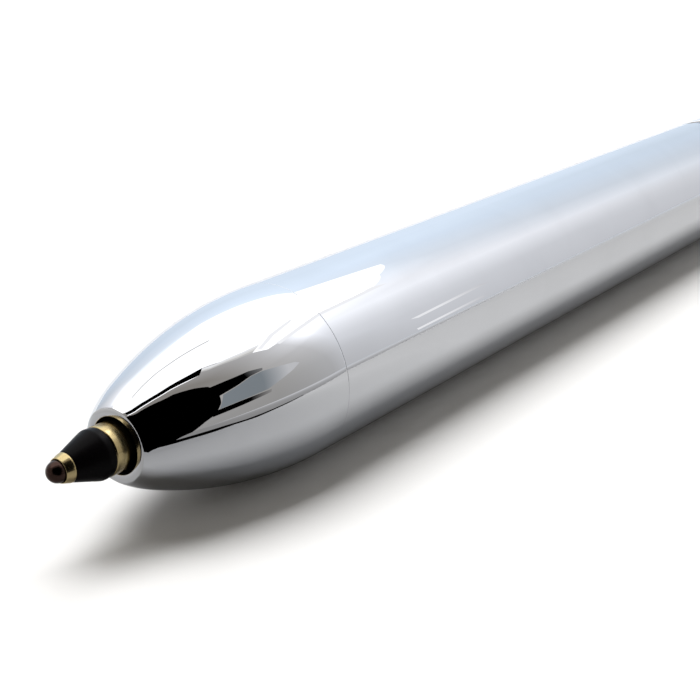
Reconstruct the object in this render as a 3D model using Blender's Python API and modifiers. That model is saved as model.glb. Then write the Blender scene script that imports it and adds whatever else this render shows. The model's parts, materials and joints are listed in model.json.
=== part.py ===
"""Twist-action multifunction pen: a ballpoint and a pencil share one nose hole.

The pen lies along X with its nose towards -X and a flat of the barrel on z = 0.
Turning the upper barrel turns an end cam, which pushes one refill carriage forward
while a spring draws the other one back.
"""

import math

import bmesh
import bpy
from mathutils import Matrix

# Refills, metres
REFILL_DIAMETER = 0.00235
REFILL_WALL = 0.000225
REFILL_LENGTH = 0.067
REFILL_SPACING = 0.0002
OVERCENTRE = 0.00015
TIP_REACH = 0.0036
BALL_DIAMETER = 0.001
SOCKET_LENGTH = 0.00045
SOCKET_BASE_DIAMETER = 0.00144
SOCKET_STEM_DIAMETER = 0.0008
SOCKET_STEM_LENGTH = 0.003
INK_CHANNEL_DIAMETER = 0.0003
TIP_CONE_LENGTH = 0.0012
TIP_SHOULDER_LENGTH = 0.00045
TIP_SHOULDER_STEP = 0.000075
TIP_STEM_LENGTH = 0.0028
INK_LENGTH = 0.042
INK_FOLLOWER_LENGTH = 0.004

# Pencil unit
LEAD_DIAMETER = 0.0005
LEAD_LENGTH = 0.032
LEAD_SHOWN = 0.0006
SPARE_LEAD_ROOM = 0.00475
PIPE_DIAMETER = 0.00084
PIPE_LENGTH = 0.002
PENCIL_CONE_LENGTH = 0.0034
PENCIL_CONE_MOUTH_DIAMETER = 0.0011
PENCIL_SLEEVE_LENGTH = 0.009
PENCIL_STEM_LENGTH = 0.0025
LEAD_FEED_TRAVEL = 0.0008
CHUCK_DIAMETER = 0.00112
CHUCK_LENGTH = 0.0084
PENCIL_SPRING_LENGTH = 0.0036
PENCIL_SPRING_WIRE = 0.00014
PENCIL_SPRING_TURNS = 5
RETAINER_LENGTH = 0.0008
CLUTCH_RING_LENGTH = 0.0006

# Nose and barrels
TIP_HOLE_LAND = 0.00035
NOSE_RIM_WIDTH = 0.000525
NOSE_LENGTH = 0.011
NOSE_EDGE = 0.00012
FUNNEL_FLARE = 0.00045
BARREL_WALL = 0.0005
EDGE_CHAMFER = 0.0001
SEAM = 0.00015
LOWER_BARREL_LENGTH = 0.055
BUSH_GRIP = 0.0024
BUSH_DEPTH = 0.005
CENTRE_RING_LENGTH = 0.0024
RING_GROOVE_WIDTH = 0.0004
RING_GROOVE_DEPTH = 0.00025

# Twist mechanism
CARRIAGE_TRAVEL = 0.012
FEED_TRAVEL = 0.0012
TUBE_WALL = 0.0002
TUBE_ENGAGEMENT = 0.014
KEY_LENGTH = 0.006
KEY_WIDTH = 0.0008
KEY_INSET = 0.003
FEED_SPRING_LENGTH = 0.0093
FEED_SPRING_WIRE = 0.0002
FEED_SPRING_TURNS = 5
SPRING_SEAT_LENGTH = 0.0015
PIVOT_INSET = 0.0004
PEG_LENGTH = 0.0042
PEG_DIAMETER = 0.00144
PEG_TIP_DIAMETER = 0.0012
PEG_LEAD_IN = 0.0003
FLANGE_LENGTH = 0.001
FLANGE_DIAMETER = 0.0022
ROD_DIAMETER = 0.0013
BLOCK_LENGTH = 0.005
RETURN_SPRING_SHORT = 0.008
RETURN_SPRING_WIRE = 0.0003
RETURN_SPRING_TURNS = 8
FOLLOWER_BODY = 0.0012
FOLLOWER_POINT = 0.0017
FOLLOWER_TIP_DIAMETER = 0.0003
CAM_BORE_DIAMETER = 0.003
CAM_BASE = 0.004
WASHER_THICKNESS = 0.0004
RETAINING_RING_LENGTH = 0.0015
PLUG_LENGTH = 0.0056

# Tail, clip and eraser
COLLAR_SPIGOT_LENGTH = 0.004
COLLAR_LENGTH = 0.006
TAIL_SPIGOT_LENGTH = 0.0042
TAIL_SPIGOT_DIAMETER = 0.007
O_RING_GROOVE_DEPTH = 0.0004
O_RING_THICKNESS = 0.00045
O_RING_INSET = 0.0006
ERASER_DIAMETER = 0.0043
ERASER_LENGTH = 0.008
ERASER_EDGE = 0.0003
ERASER_SHOWN = 0.0022
FERRULE_WALL = 0.00025
FERRULE_LENGTH = 0.0074
FERRULE_SHOWN = 0.001
CROWN_ROOF = 0.001
CROWN_ROUND = 0.0016
CLIP_LENGTH = 0.0404
CLIP_WIDTH = 0.0032
CLIP_THICKNESS = 0.0009
CLIP_TAIL_THICKNESS = 0.001
CLIP_STAND_OFF = 0.0019
CLIP_PAD_RADIUS = 0.001
CLIP_TAIL = 0.0036
CLIP_TAIL_ROUND = 0.0006
CLIP_HEEL_LENGTH = 0.0012
CLIP_NOSE_ROUND = 0.0008
CLIP_CHEEK_RADIUS = 0.00085
CLIP_CHEEK_WIDTH = 0.00065
HINGE_INSET = 0.0021
HINGE_HEIGHT = 0.0009
HINGE_PIN_DIAMETER = 0.0009
HINGE_BOSS_RADIUS = 0.0007
CLIP_SPRING_THICKNESS = 0.0002
CLIP_SPRING_WIDTH = 0.0016
CLIP_SPRING_RISE = 0.00025

# Clearances
CAVITY_CLEARANCE = 0.000075
RUNNING_CLEARANCE = 0.0001
FIT_CLEARANCE = 0.00005
TIP_HOLE_CLEARANCE = 0.0002
BALL_CLEARANCE = 0.00003
SEAT_GAP = 0.0001
END_GAP = 0.00025
STOP_GAP = 0.0003
FLOOR_CLEARANCE = 0.00003

# Facets round one turn
SHELL_SEGMENTS = 32
TUBE_SEGMENTS = 32
CAM_SEGMENTS = 48
SMALL_SEGMENTS = 20
ARC_STEPS = 6
OGIVE_STEPS = 9
FEED_SPRING_POINTS = 18
SMALL_SPRING_POINTS = 8
MERGE_DISTANCE = 1e-7

# Radii that follow from the refills outwards
REFILL_RADIUS = REFILL_DIAMETER / 2
REFILL_BORE = REFILL_RADIUS - REFILL_WALL
REFILL_OFFSET = REFILL_DIAMETER + REFILL_SPACING
CAVITY_RADIUS = REFILL_OFFSET + REFILL_RADIUS + CAVITY_CLEARANCE
TUBE_RADIUS = CAVITY_RADIUS + TUBE_WALL
BARREL_BORE = TUBE_RADIUS + RUNNING_CLEARANCE
BARREL_RADIUS = BARREL_BORE + BARREL_WALL
PRESSED_RADIUS = BARREL_BORE - FIT_CLEARANCE
TIP_HOLE_RADIUS = REFILL_RADIUS + TIP_HOLE_CLEARANCE
NOSE_RIM_RADIUS = TIP_HOLE_RADIUS + NOSE_RIM_WIDTH
AXIS_HEIGHT = BARREL_RADIUS * math.cos(math.pi / SHELL_SEGMENTS)
SHELL_ROLL = math.pi / SHELL_SEGMENTS

# Stations along the pen, from the nose rim towards the tail
LOWER_START = NOSE_LENGTH + SEAM
LOWER_END = LOWER_START + LOWER_BARREL_LENGTH
REST_STATION = (LOWER_START + LOWER_END) / 2
RING_START = LOWER_END + FEED_TRAVEL + STOP_GAP
RING_END = RING_START + CENTRE_RING_LENGTH
UPPER_START = RING_END + SEAM
BUSH_START = NOSE_LENGTH - BUSH_GRIP
TUBE_FRONT = LOWER_END - TUBE_ENGAGEMENT
KEY_START = TUBE_FRONT + KEY_INSET
PIVOT_TO_TIP = REFILL_LENGTH - PIVOT_INSET
PIVOT = PIVOT_TO_TIP - TIP_REACH
TILT = math.atan((REFILL_OFFSET + OVERCENTRE) / PIVOT)
FLANGE_START = PIVOT + PIVOT_INSET + END_GAP
PEG_FRONT = FLANGE_START - PEG_LENGTH
FLANGE_END = FLANGE_START + FLANGE_LENGTH
BLOCK_START = FLANGE_END + CARRIAGE_TRAVEL + STOP_GAP
BLOCK_END = BLOCK_START + BLOCK_LENGTH
FOLLOWER_START = BLOCK_END + RETURN_SPRING_SHORT + 2 * SEAT_GAP
FOLLOWER_TIP = FOLLOWER_START + FOLLOWER_BODY + FOLLOWER_POINT
CAM_PEAK = FOLLOWER_TIP + STOP_GAP
CAM_VALLEY = CAM_PEAK + CARRIAGE_TRAVEL
CAM_REAR = CAM_VALLEY + CAM_BASE
WASHER_START = CAM_REAR + SEAT_GAP
RETAINER_START = WASHER_START + WASHER_THICKNESS + SEAT_GAP
TUBE_REAR = RETAINER_START + RETAINING_RING_LENGTH
PLUG_START = TUBE_REAR + STOP_GAP
PLUG_END = PLUG_START + PLUG_LENGTH
UPPER_END = PLUG_END + STOP_GAP + COLLAR_SPIGOT_LENGTH
COLLAR_START = UPPER_END + SEAM
COLLAR_END = COLLAR_START + COLLAR_LENGTH
TAIL_SPIGOT_END = COLLAR_END + TAIL_SPIGOT_LENGTH
FERRULE_END = TAIL_SPIGOT_END + FERRULE_SHOWN
ERASER_END = FERRULE_END + ERASER_SHOWN
CROWN_START = COLLAR_END + SEAM
CROWN_INSIDE = ERASER_END + STOP_GAP
CROWN_END = CROWN_INSIDE + CROWN_ROOF

# Sizes of the turning and sliding fits
CAM_RADIUS = CAVITY_RADIUS - RUNNING_CLEARANCE
CAM_BORE = CAM_BORE_DIAMETER / 2
PLUG_SPIGOT_RADIUS = CAM_BORE - FIT_CLEARANCE
RING_BORE = PLUG_SPIGOT_RADIUS + RUNNING_CLEARANCE
ROD_RADIUS = ROD_DIAMETER / 2
TAIL_SPIGOT_RADIUS = TAIL_SPIGOT_DIAMETER / 2
ERASER_RADIUS = ERASER_DIAMETER / 2
FERRULE_RADIUS = ERASER_RADIUS + FIT_CLEARANCE + FERRULE_WALL
COLLAR_BORE = FERRULE_RADIUS + FIT_CLEARANCE
CROWN_BORE = TAIL_SPIGOT_RADIUS + RUNNING_CLEARANCE

# The clip's hinge and the turn that lays its lower edge beside the floor
HINGE_STATION = COLLAR_START + HINGE_INSET
HINGE_RADIUS = BARREL_RADIUS + HINGE_HEIGHT
CLIP_UNDERSIDE = CLIP_STAND_OFF - HINGE_HEIGHT
CLIP_TOP = CLIP_UNDERSIDE + CLIP_THICKNESS
CLIP_REACH = math.hypot(HINGE_RADIUS + CLIP_TOP, CLIP_WIDTH / 2)
CLIP_HALF_SPREAD = math.atan((CLIP_WIDTH / 2) / (HINGE_RADIUS + CLIP_TOP))
CLIP_TURN = CLIP_HALF_SPREAD + math.acos((AXIS_HEIGHT - FLOOR_CLEARANCE) / CLIP_REACH)

# Colour, roughness and metallic value of each material
FINISHES = {
    "polished_chrome": ((0.78, 0.79, 0.81), 0.06, 1.0),
    "brass": ((0.83, 0.70, 0.38), 0.22, 1.0),
    "spring_steel": ((0.62, 0.62, 0.64), 0.30, 1.0),
    "black_plastic": ((0.012, 0.010, 0.012), 0.25, 0.0),
    "grey_plastic": ((0.33, 0.34, 0.36), 0.45, 0.0),
    "white_plastic": ((0.80, 0.80, 0.78), 0.40, 0.0),
    "ink": ((0.010, 0.011, 0.030), 0.20, 0.0),
    "grease": ((0.78, 0.72, 0.50), 0.35, 0.0),
    "graphite": ((0.045, 0.045, 0.050), 0.50, 0.2),
    "carbide": ((0.12, 0.09, 0.08), 0.18, 1.0),
    "black_rubber": ((0.020, 0.020, 0.021), 0.70, 0.0),
    "eraser_rubber": ((0.86, 0.86, 0.84), 0.80, 0.0),
}


def clear_scene():
    for scene_object in list(bpy.data.objects):
        bpy.data.objects.remove(scene_object, do_unlink=True)


def new_collection(name):
    collection = bpy.data.collections.new(name)
    bpy.context.scene.collection.children.link(collection)
    return collection


def new_material(name, finish):
    colour, roughness, metallic = FINISHES[finish]
    material = bpy.data.materials.new(name)
    material.use_nodes = True
    shader = material.node_tree.nodes["Principled BSDF"]
    shader.inputs["Base Color"].default_value = (*colour, 1.0)
    shader.inputs["Roughness"].default_value = roughness
    shader.inputs["Metallic"].default_value = metallic
    return material


class Workshop:
    """Keeps the two collections that finished pieces and cutters go into."""

    def __init__(self):
        self.pieces = new_collection("multifunction_pen")
        self.cutters = new_collection("cutters")

    def frame(self, name, parent, location=(0, 0, 0)):
        empty = bpy.data.objects.new(name, None)
        empty.empty_display_size = BARREL_RADIUS
        self.pieces.objects.link(empty)
        empty.parent = parent
        empty.location = location
        return empty

    def piece(self, name, mesh, finish, parent, location=(0, 0, 0)):
        part = bpy.data.objects.new(name, mesh)
        self.pieces.objects.link(part)
        part.parent = parent
        part.location = location
        mesh.materials.append(new_material(name, finish))
        return part

    def cutter(self, name, mesh, parent, location=(0, 0, 0)):
        part = bpy.data.objects.new(name, mesh)
        self.cutters.objects.link(part)
        part.parent = parent
        part.location = location
        part.hide_render = True
        part.display_type = "WIRE"
        return part


def profile_mesh(name, outline):
    """Edges through (station, radius) points, from the tail down the outside and back inside."""
    mesh = bpy.data.meshes.new(name)
    points = [(radius, 0, station) for station, radius in outline]
    edges = [(i, i + 1) for i in range(len(points) - 1)]
    if outline[0][1] > 0 and outline[-1][1] > 0:
        edges.append((len(points) - 1, 0))
    mesh.from_pydata(points, edges, [])
    return mesh


def add_screw(part, segments):
    screw = part.modifiers.new("Turn", "SCREW")
    screw.axis = "Z"
    screw.angle = math.tau
    screw.steps = segments
    screw.render_steps = segments
    screw.use_merge_vertices = True
    screw.merge_threshold = MERGE_DISTANCE
    screw.use_smooth_shade = True


def turned(shop, name, outline, finish, parent, location=(0, 0, 0), segments=SMALL_SEGMENTS):
    part = shop.piece(name, profile_mesh(name, outline), finish, parent, location)
    add_screw(part, segments)
    return part


def shell(shop, name, outline, finish, parent):
    """A turned outer piece with one of its flats facing the floor."""
    part = turned(shop, name, outline, finish, parent, segments=SHELL_SEGMENTS)
    part.rotation_euler.z = SHELL_ROLL
    return part


def tube_outline(start, end, radius, bore):
    return [(end, radius), (start, radius), (start, bore), (end, bore)]


def rod_outline(start, end, radius):
    return [(end, 0), (end, radius), (start, radius), (start, 0)]


def chamfered_tube(start, end, radius, bore):
    return [
        (end, radius - EDGE_CHAMFER), (end - EDGE_CHAMFER, radius),
        (start + EDGE_CHAMFER, radius), (start, radius - EDGE_CHAMFER),
        (start, bore), (end, bore),
    ]


def arc(centre, radius, start, end, steps=ARC_STEPS):
    """Points round an arc, with the angles in degrees."""
    angles = [math.radians(start + (end - start) * i / steps) for i in range(steps + 1)]
    return [(centre[0] + radius * math.cos(a), centre[1] + radius * math.sin(a)) for a in angles]


def box_mesh(name, low, high):
    mesh = bpy.data.meshes.new(name)
    work = bmesh.new()
    bmesh.ops.create_cube(work, size=1.0)
    for vertex in work.verts:
        for axis in range(3):
            vertex.co[axis] = low[axis] if vertex.co[axis] < 0 else high[axis]
    work.to_mesh(mesh)
    work.free()
    return mesh


def cylinder_mesh(name, radius, start, end, segments=SMALL_SEGMENTS):
    mesh = bpy.data.meshes.new(name)
    work = bmesh.new()
    bmesh.ops.create_cone(
        work, cap_ends=True, segments=segments, radius1=radius, radius2=radius, depth=end - start,
        matrix=Matrix.Translation((0, 0, (start + end) / 2)),
    )
    work.to_mesh(mesh)
    work.free()
    return mesh


def mesh_of_curve(curve_data):
    """The curve's solid as one welded mesh."""
    holder = bpy.data.objects.new("holder", curve_data)
    bpy.context.scene.collection.objects.link(holder)
    evaluated = holder.evaluated_get(bpy.context.evaluated_depsgraph_get())
    mesh = bpy.data.meshes.new_from_object(evaluated)
    bpy.data.objects.remove(holder, do_unlink=True)
    mesh.materials.clear()
    work = bmesh.new()
    work.from_mesh(mesh)
    bmesh.ops.remove_doubles(work, verts=work.verts, dist=MERGE_DISTANCE)
    bmesh.ops.recalc_face_normals(work, faces=work.faces)
    work.to_mesh(mesh)
    work.free()
    mesh.name = curve_data.name
    return mesh


def plate_mesh(name, outline, width):
    """A flat outline given its width, half to each side of its plane."""
    curve = bpy.data.curves.new(name, "CURVE")
    curve.dimensions = "2D"
    curve.fill_mode = "BOTH"
    curve.extrude = width / 2
    spline = curve.splines.new("POLY")
    spline.points.add(len(outline) - 1)
    for point, (along, across) in zip(spline.points, outline):
        point.co = (along, across, 0, 1)
    spline.use_cyclic_u = True
    return mesh_of_curve(curve)


def least_gap(points, wire, points_per_turn):
    """The least distance between the wire's turns, measured on the points of its middle line."""
    nearest = math.inf
    for i, first in enumerate(points):
        for second in points[i + points_per_turn // 2:]:
            nearest = min(nearest, math.dist(first, second))
    return nearest - wire


def coil_mesh(name, radius, wire, length, turns, points_per_turn):
    count = turns * points_per_turn
    climb = length - wire
    points = []
    for i in range(count + 1):
        angle = math.tau * i / points_per_turn
        points.append((radius * math.cos(angle), radius * math.sin(angle), wire / 2 + climb * i / count))
    print(f"{name}: least gap {least_gap(points, wire, points_per_turn) * 1000:.2f} mm")
    curve = bpy.data.curves.new(name, "CURVE")
    curve.dimensions = "3D"
    curve.bevel_depth = wire / 2
    curve.bevel_resolution = 1
    curve.use_fill_caps = True
    spline = curve.splines.new("POLY")
    spline.points.add(count)
    for point, place in zip(spline.points, points):
        point.co = (*place, 1)
    return mesh_of_curve(curve)


def add_boolean(part, tool, operation):
    boolean = part.modifiers.new(tool.name, "BOOLEAN")
    boolean.operation = operation
    boolean.object = tool
    boolean.solver = "EXACT"


def nose_radius(station):
    """A tangent ogive from the rim to the barrel."""
    rise = BARREL_RADIUS - NOSE_RIM_RADIUS
    sweep = (NOSE_LENGTH ** 2 + rise ** 2) / (2 * rise)
    return BARREL_RADIUS - sweep + math.sqrt(sweep ** 2 - (NOSE_LENGTH - station) ** 2)


def make_nose(shop, pen):
    body_length = NOSE_LENGTH - NOSE_EDGE - EDGE_CHAMFER
    outside = []
    for i in range(OGIVE_STEPS + 1):
        station = NOSE_EDGE + body_length * (1 - i / OGIVE_STEPS)
        outside.append((station, nose_radius(station)))
    flare_end = TIP_HOLE_LAND + FUNNEL_FLARE
    outline = [
        (NOSE_LENGTH, BARREL_RADIUS - EDGE_CHAMFER),
        *outside,
        (0, NOSE_RIM_RADIUS - NOSE_EDGE),
        (0, TIP_HOLE_RADIUS),
        (TIP_HOLE_LAND, TIP_HOLE_RADIUS),
        (flare_end, TIP_HOLE_RADIUS + FUNNEL_FLARE),
        (BUSH_START - STOP_GAP, CAVITY_RADIUS - FIT_CLEARANCE),
        (BUSH_START - STOP_GAP, BARREL_BORE),
        (NOSE_LENGTH, BARREL_BORE),
    ]
    shell(shop, "nose_cone", outline, "polished_chrome", pen)


def make_lower_body(shop, pen, core):
    barrel = chamfered_tube(LOWER_START, LOWER_END, BARREL_RADIUS, BARREL_BORE)
    shell(shop, "lower_barrel", barrel, "polished_chrome", pen)
    bush = tube_outline(BUSH_START, LOWER_START + BUSH_DEPTH, PRESSED_RADIUS, CAVITY_RADIUS)
    shell(shop, "front_bush", bush, "brass", pen)
    spring_start = TUBE_FRONT - SEAT_GAP - FEED_SPRING_LENGTH
    seat_end = spring_start - SEAT_GAP
    seat = tube_outline(seat_end - SPRING_SEAT_LENGTH, seat_end, PRESSED_RADIUS, CAVITY_RADIUS)
    shell(shop, "spring_seat_ring", seat, "brass", pen)
    spring = coil_mesh(
        "feed_spring", (CAVITY_RADIUS + BARREL_BORE) / 2, FEED_SPRING_WIRE, FEED_SPRING_LENGTH,
        FEED_SPRING_TURNS, FEED_SPRING_POINTS,
    )
    shop.piece("feed_spring", spring, "spring_steel", pen, (0, 0, spring_start))
    key = box_mesh(
        "guide_key",
        (-KEY_WIDTH / 2, CAVITY_RADIUS, KEY_START),
        (KEY_WIDTH / 2, TUBE_RADIUS + FIT_CLEARANCE, KEY_START + KEY_LENGTH),
    )
    shop.piece("guide_key", key, "brass", core)


def make_cartridge(shop, core):
    outline = tube_outline(TUBE_FRONT, TUBE_REAR, TUBE_RADIUS, CAVITY_RADIUS)
    tube = turned(shop, "mechanism_tube", outline, "brass", core, segments=TUBE_SEGMENTS)
    slot = box_mesh(
        "key_slot",
        (-KEY_WIDTH / 2 - RUNNING_CLEARANCE, REFILL_OFFSET, KEY_START - SEAT_GAP),
        (KEY_WIDTH / 2 + RUNNING_CLEARANCE, BARREL_RADIUS,
         KEY_START + KEY_LENGTH + FEED_TRAVEL + SEAT_GAP),
    )
    add_boolean(tube, shop.cutter("key_slot", slot, core), "DIFFERENCE")

    pressed = CAVITY_RADIUS - FIT_CLEARANCE
    block = turned(
        shop, "guide_block", rod_outline(BLOCK_START, BLOCK_END, pressed), "white_plastic", core,
        segments=TUBE_SEGMENTS,
    )
    for side, name in ((-1, "ball_rod_bore"), (1, "pencil_rod_bore")):
        bore = cylinder_mesh(
            name, ROD_RADIUS + RUNNING_CLEARANCE, BLOCK_START - STOP_GAP, BLOCK_END + STOP_GAP
        )
        add_boolean(block, shop.cutter(name, bore, core, (side * REFILL_OFFSET, 0, 0)), "DIFFERENCE")

    washer = tube_outline(WASHER_START, WASHER_START + WASHER_THICKNESS, CAM_RADIUS, RING_BORE)
    turned(shop, "thrust_washer", washer, "white_plastic", core, segments=TUBE_SEGMENTS)
    ring = tube_outline(RETAINER_START, TUBE_REAR, pressed, RING_BORE)
    turned(shop, "retaining_ring", ring, "brass", core, segments=TUBE_SEGMENTS)


def make_return_spring(shop, core, name, side, length):
    mean_radius = ROD_RADIUS + RUNNING_CLEARANCE + RETURN_SPRING_WIRE / 2 + RUNNING_CLEARANCE
    mesh = coil_mesh(
        name, mean_radius, RETURN_SPRING_WIRE, length, RETURN_SPRING_TURNS, SMALL_SPRING_POINTS
    )
    shop.piece(name, mesh, "spring_steel", core, (side * REFILL_OFFSET, 0, BLOCK_END + SEAT_GAP))


def make_carriage(shop, frame, kind):
    """A rod with a peg for the refill, and the pointed follower pressed on its tail."""
    flange_start = FLANGE_START - PIVOT
    flange_end = FLANGE_END - PIVOT
    follower_start = FOLLOWER_START - PIVOT
    bore_end = follower_start + FOLLOWER_BODY
    rod_end = bore_end - FIT_CLEARANCE
    peg_front = PEG_FRONT - PIVOT
    carriage = [
        (rod_end, 0), (rod_end, ROD_RADIUS), (flange_end, ROD_RADIUS),
        (flange_end, FLANGE_DIAMETER / 2), (flange_start, FLANGE_DIAMETER / 2),
        (flange_start, PEG_DIAMETER / 2), (peg_front + PEG_LEAD_IN, PEG_TIP_DIAMETER / 2),
        (peg_front, PEG_TIP_DIAMETER / 2 - PEG_LEAD_IN / 2), (peg_front, 0),
    ]
    turned(shop, f"{kind}_carriage", carriage, "grey_plastic", frame)
    tip = FOLLOWER_TIP - PIVOT
    follower = [
        (tip, 0), (tip, FOLLOWER_TIP_DIAMETER / 2), (tip - FOLLOWER_POINT, REFILL_RADIUS),
        (follower_start, REFILL_RADIUS), (follower_start, ROD_RADIUS + FIT_CLEARANCE),
        (bore_end, ROD_RADIUS + FIT_CLEARANCE), (bore_end, 0),
    ]
    turned(shop, f"{kind}_follower", follower, "brass", frame)


def make_ball_refill(shop, frame):
    """Pieces measured from the ball's tip, with the frame on the carriage's peg."""
    tip = -PIVOT_TO_TIP
    ball_radius = BALL_DIAMETER / 2
    ball_centre = tip + ball_radius
    cup_radius = ball_radius + BALL_CLEARANCE
    socket_base = tip + 2 * ball_radius
    socket_front = socket_base - SOCKET_LENGTH
    lip = cup_radius + BALL_CLEARANCE
    cup_floor = socket_base + 2 * BALL_CLEARANCE
    stem_end = cup_floor + SOCKET_STEM_LENGTH
    stem = SOCKET_STEM_DIAMETER / 2
    base = SOCKET_BASE_DIAMETER / 2
    channel = INK_CHANNEL_DIAMETER / 2
    cup = []
    for i in range(ARC_STEPS + 1):
        reach = (socket_front - ball_centre) + (cup_radius - socket_front + ball_centre) * i / ARC_STEPS
        radius = math.sqrt(max(cup_radius ** 2 - reach ** 2, 0))
        if radius > channel:
            cup.append((ball_centre + reach, radius))
    socket = [
        (stem_end, stem), (cup_floor, stem), (cup_floor, base), (socket_base, base), (socket_front, lip),
        *cup, (ball_centre + math.sqrt(cup_radius ** 2 - channel ** 2), channel), (stem_end, channel),
    ]
    turned(shop, "ball_socket", socket, "brass", frame)

    cone_start = cup_floor + FIT_CLEARANCE
    cone_end = cone_start + TIP_CONE_LENGTH
    shoulder_end = cone_end + TIP_SHOULDER_LENGTH
    shoulder = REFILL_RADIUS - TIP_SHOULDER_STEP
    plug = REFILL_BORE - FIT_CLEARANCE
    plug_end = shoulder_end + TIP_STEM_LENGTH
    cone = [
        (plug_end, plug), (shoulder_end, plug), (shoulder_end, shoulder), (cone_end, shoulder),
        (cone_start, base), (cone_start, stem + FIT_CLEARANCE), (plug_end, stem + FIT_CLEARANCE),
    ]
    turned(shop, "refill_tip_cone", cone, "black_plastic", frame)

    tube_start = shoulder_end + FIT_CLEARANCE
    tube = chamfered_tube(tube_start, PIVOT_INSET, REFILL_RADIUS, REFILL_BORE)
    turned(shop, "ball_refill_tube", tube, "brass", frame)
    ink_start = plug_end + SEAT_GAP
    ink_end = ink_start + INK_LENGTH
    turned(shop, "ink_column", rod_outline(ink_start, ink_end, plug), "ink", frame)
    grease_start = ink_end + SEAT_GAP
    grease = rod_outline(grease_start, grease_start + INK_FOLLOWER_LENGTH, plug)
    turned(shop, "ink_follower", grease, "grease", frame)

    ball_frame = shop.frame("ball_centre", frame, (0, 0, ball_centre))
    mesh = bpy.data.meshes.new("writing_ball")
    work = bmesh.new()
    bmesh.ops.create_uvsphere(work, u_segments=14, v_segments=8, radius=ball_radius)
    work.to_mesh(mesh)
    work.free()
    mesh.shade_smooth()
    shop.piece("writing_ball", mesh, "carbide", ball_frame)


def make_pencil(shop, frame):
    """A lead pencil of the refill's own length and diameter, measured from the lead's point."""
    point = -PIVOT_TO_TIP
    lead_radius = LEAD_DIAMETER / 2
    lead_bore = lead_radius + FIT_CLEARANCE
    pipe_start = point + LEAD_SHOWN
    cone_start = pipe_start + PIPE_LENGTH
    cone_end = cone_start + PENCIL_CONE_LENGTH
    stem_end = cone_end + PENCIL_STEM_LENGTH
    sleeve_bore = REFILL_BORE
    plug = sleeve_bore - FIT_CLEARANCE
    chuck_radius = CHUCK_DIAMETER / 2
    chuck_bore = chuck_radius + RUNNING_CLEARANCE
    retainer_start = cone_end + FIT_CLEARANCE
    retainer_end = retainer_start + RETAINER_LENGTH
    tip = [
        (stem_end, plug), (cone_end, plug), (cone_end, REFILL_RADIUS - FIT_CLEARANCE),
        (cone_start, PENCIL_CONE_MOUTH_DIAMETER / 2), (cone_start, PIPE_DIAMETER / 2),
        (pipe_start, PIPE_DIAMETER / 2), (pipe_start, lead_bore), (cone_end, lead_bore),
        (cone_end, chuck_bore), (stem_end, chuck_bore),
    ]
    turned(shop, "pencil_tip", tip, "polished_chrome", frame)
    retainer = tube_outline(retainer_start, retainer_end, chuck_bore - FIT_CLEARANCE, lead_bore)
    turned(shop, "lead_retainer", retainer, "black_rubber", frame)

    sleeve_start = cone_end + FIT_CLEARANCE
    sleeve_end = sleeve_start + PENCIL_SLEEVE_LENGTH
    sleeve = chamfered_tube(sleeve_start, sleeve_end, REFILL_RADIUS, sleeve_bore)
    turned(shop, "pencil_sleeve", sleeve, "brass", frame)
    clutch_start = stem_end + SEAT_GAP
    clutch_end = clutch_start + CLUTCH_RING_LENGTH
    clutch = tube_outline(clutch_start, clutch_end, plug, chuck_bore)
    turned(shop, "clutch_ring", clutch, "brass", frame)

    spring_start = clutch_end + SEAT_GAP
    spring_radius = chuck_radius + RUNNING_CLEARANCE + PENCIL_SPRING_WIRE
    spring = coil_mesh(
        "pencil_spring", spring_radius, PENCIL_SPRING_WIRE, PENCIL_SPRING_LENGTH,
        PENCIL_SPRING_TURNS, SMALL_SPRING_POINTS,
    )
    shop.piece("pencil_spring", spring, "spring_steel", frame, (0, 0, spring_start))

    neck_start = spring_start + PENCIL_SPRING_LENGTH + SEAT_GAP
    shoulder = sleeve_end + LEAD_FEED_TRAVEL + STOP_GAP
    tube = [
        (PIVOT_INSET, REFILL_RADIUS), (shoulder, REFILL_RADIUS), (shoulder, plug), (neck_start, plug),
        (neck_start, chuck_bore), (shoulder, chuck_bore), (shoulder + LEAD_SHOWN, REFILL_BORE),
        (PIVOT_INSET, REFILL_BORE),
    ]
    turned(shop, "pencil_lead_tube", tube, "brass", frame)
    chuck_start = retainer_end + LEAD_FEED_TRAVEL + STOP_GAP
    chuck = tube_outline(chuck_start, chuck_start + CHUCK_LENGTH, chuck_radius, lead_bore)
    turned(shop, "lead_chuck", chuck, "brass", frame)
    turned(shop, "lead", rod_outline(point, point + LEAD_LENGTH, lead_radius), "graphite", frame)
    spare_start = point + LEAD_LENGTH + STOP_GAP
    spare_end = PEG_FRONT - PIVOT - SPARE_LEAD_ROOM
    spare = rod_outline(spare_start, spare_end, lead_radius)
    turned(shop, "spare_lead", spare, "graphite", frame)


def make_cam(shop, cam_axis):
    """An end cam: its front edge falls back from one peak by the carriage travel in half a turn."""
    mesh = bpy.data.meshes.new("cam_drum")
    work = bmesh.new()
    bmesh.ops.create_cone(
        work, cap_ends=False, segments=CAM_SEGMENTS, radius1=CAM_RADIUS, radius2=CAM_RADIUS, depth=1.0
    )
    for vertex in work.verts:
        if vertex.co.z > 0:
            vertex.co.z = CAM_REAR
        else:
            angle = abs(math.atan2(vertex.co.y, vertex.co.x))
            vertex.co.z = CAM_VALLEY - CARRIAGE_TRAVEL * angle / math.pi
    work.to_mesh(mesh)
    work.free()
    drum = shop.piece("cam_drum", mesh, "white_plastic", cam_axis)
    wall = drum.modifiers.new("Wall", "SOLIDIFY")
    wall.thickness = CAM_RADIUS - CAM_BORE
    wall.offset = -1


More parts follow.
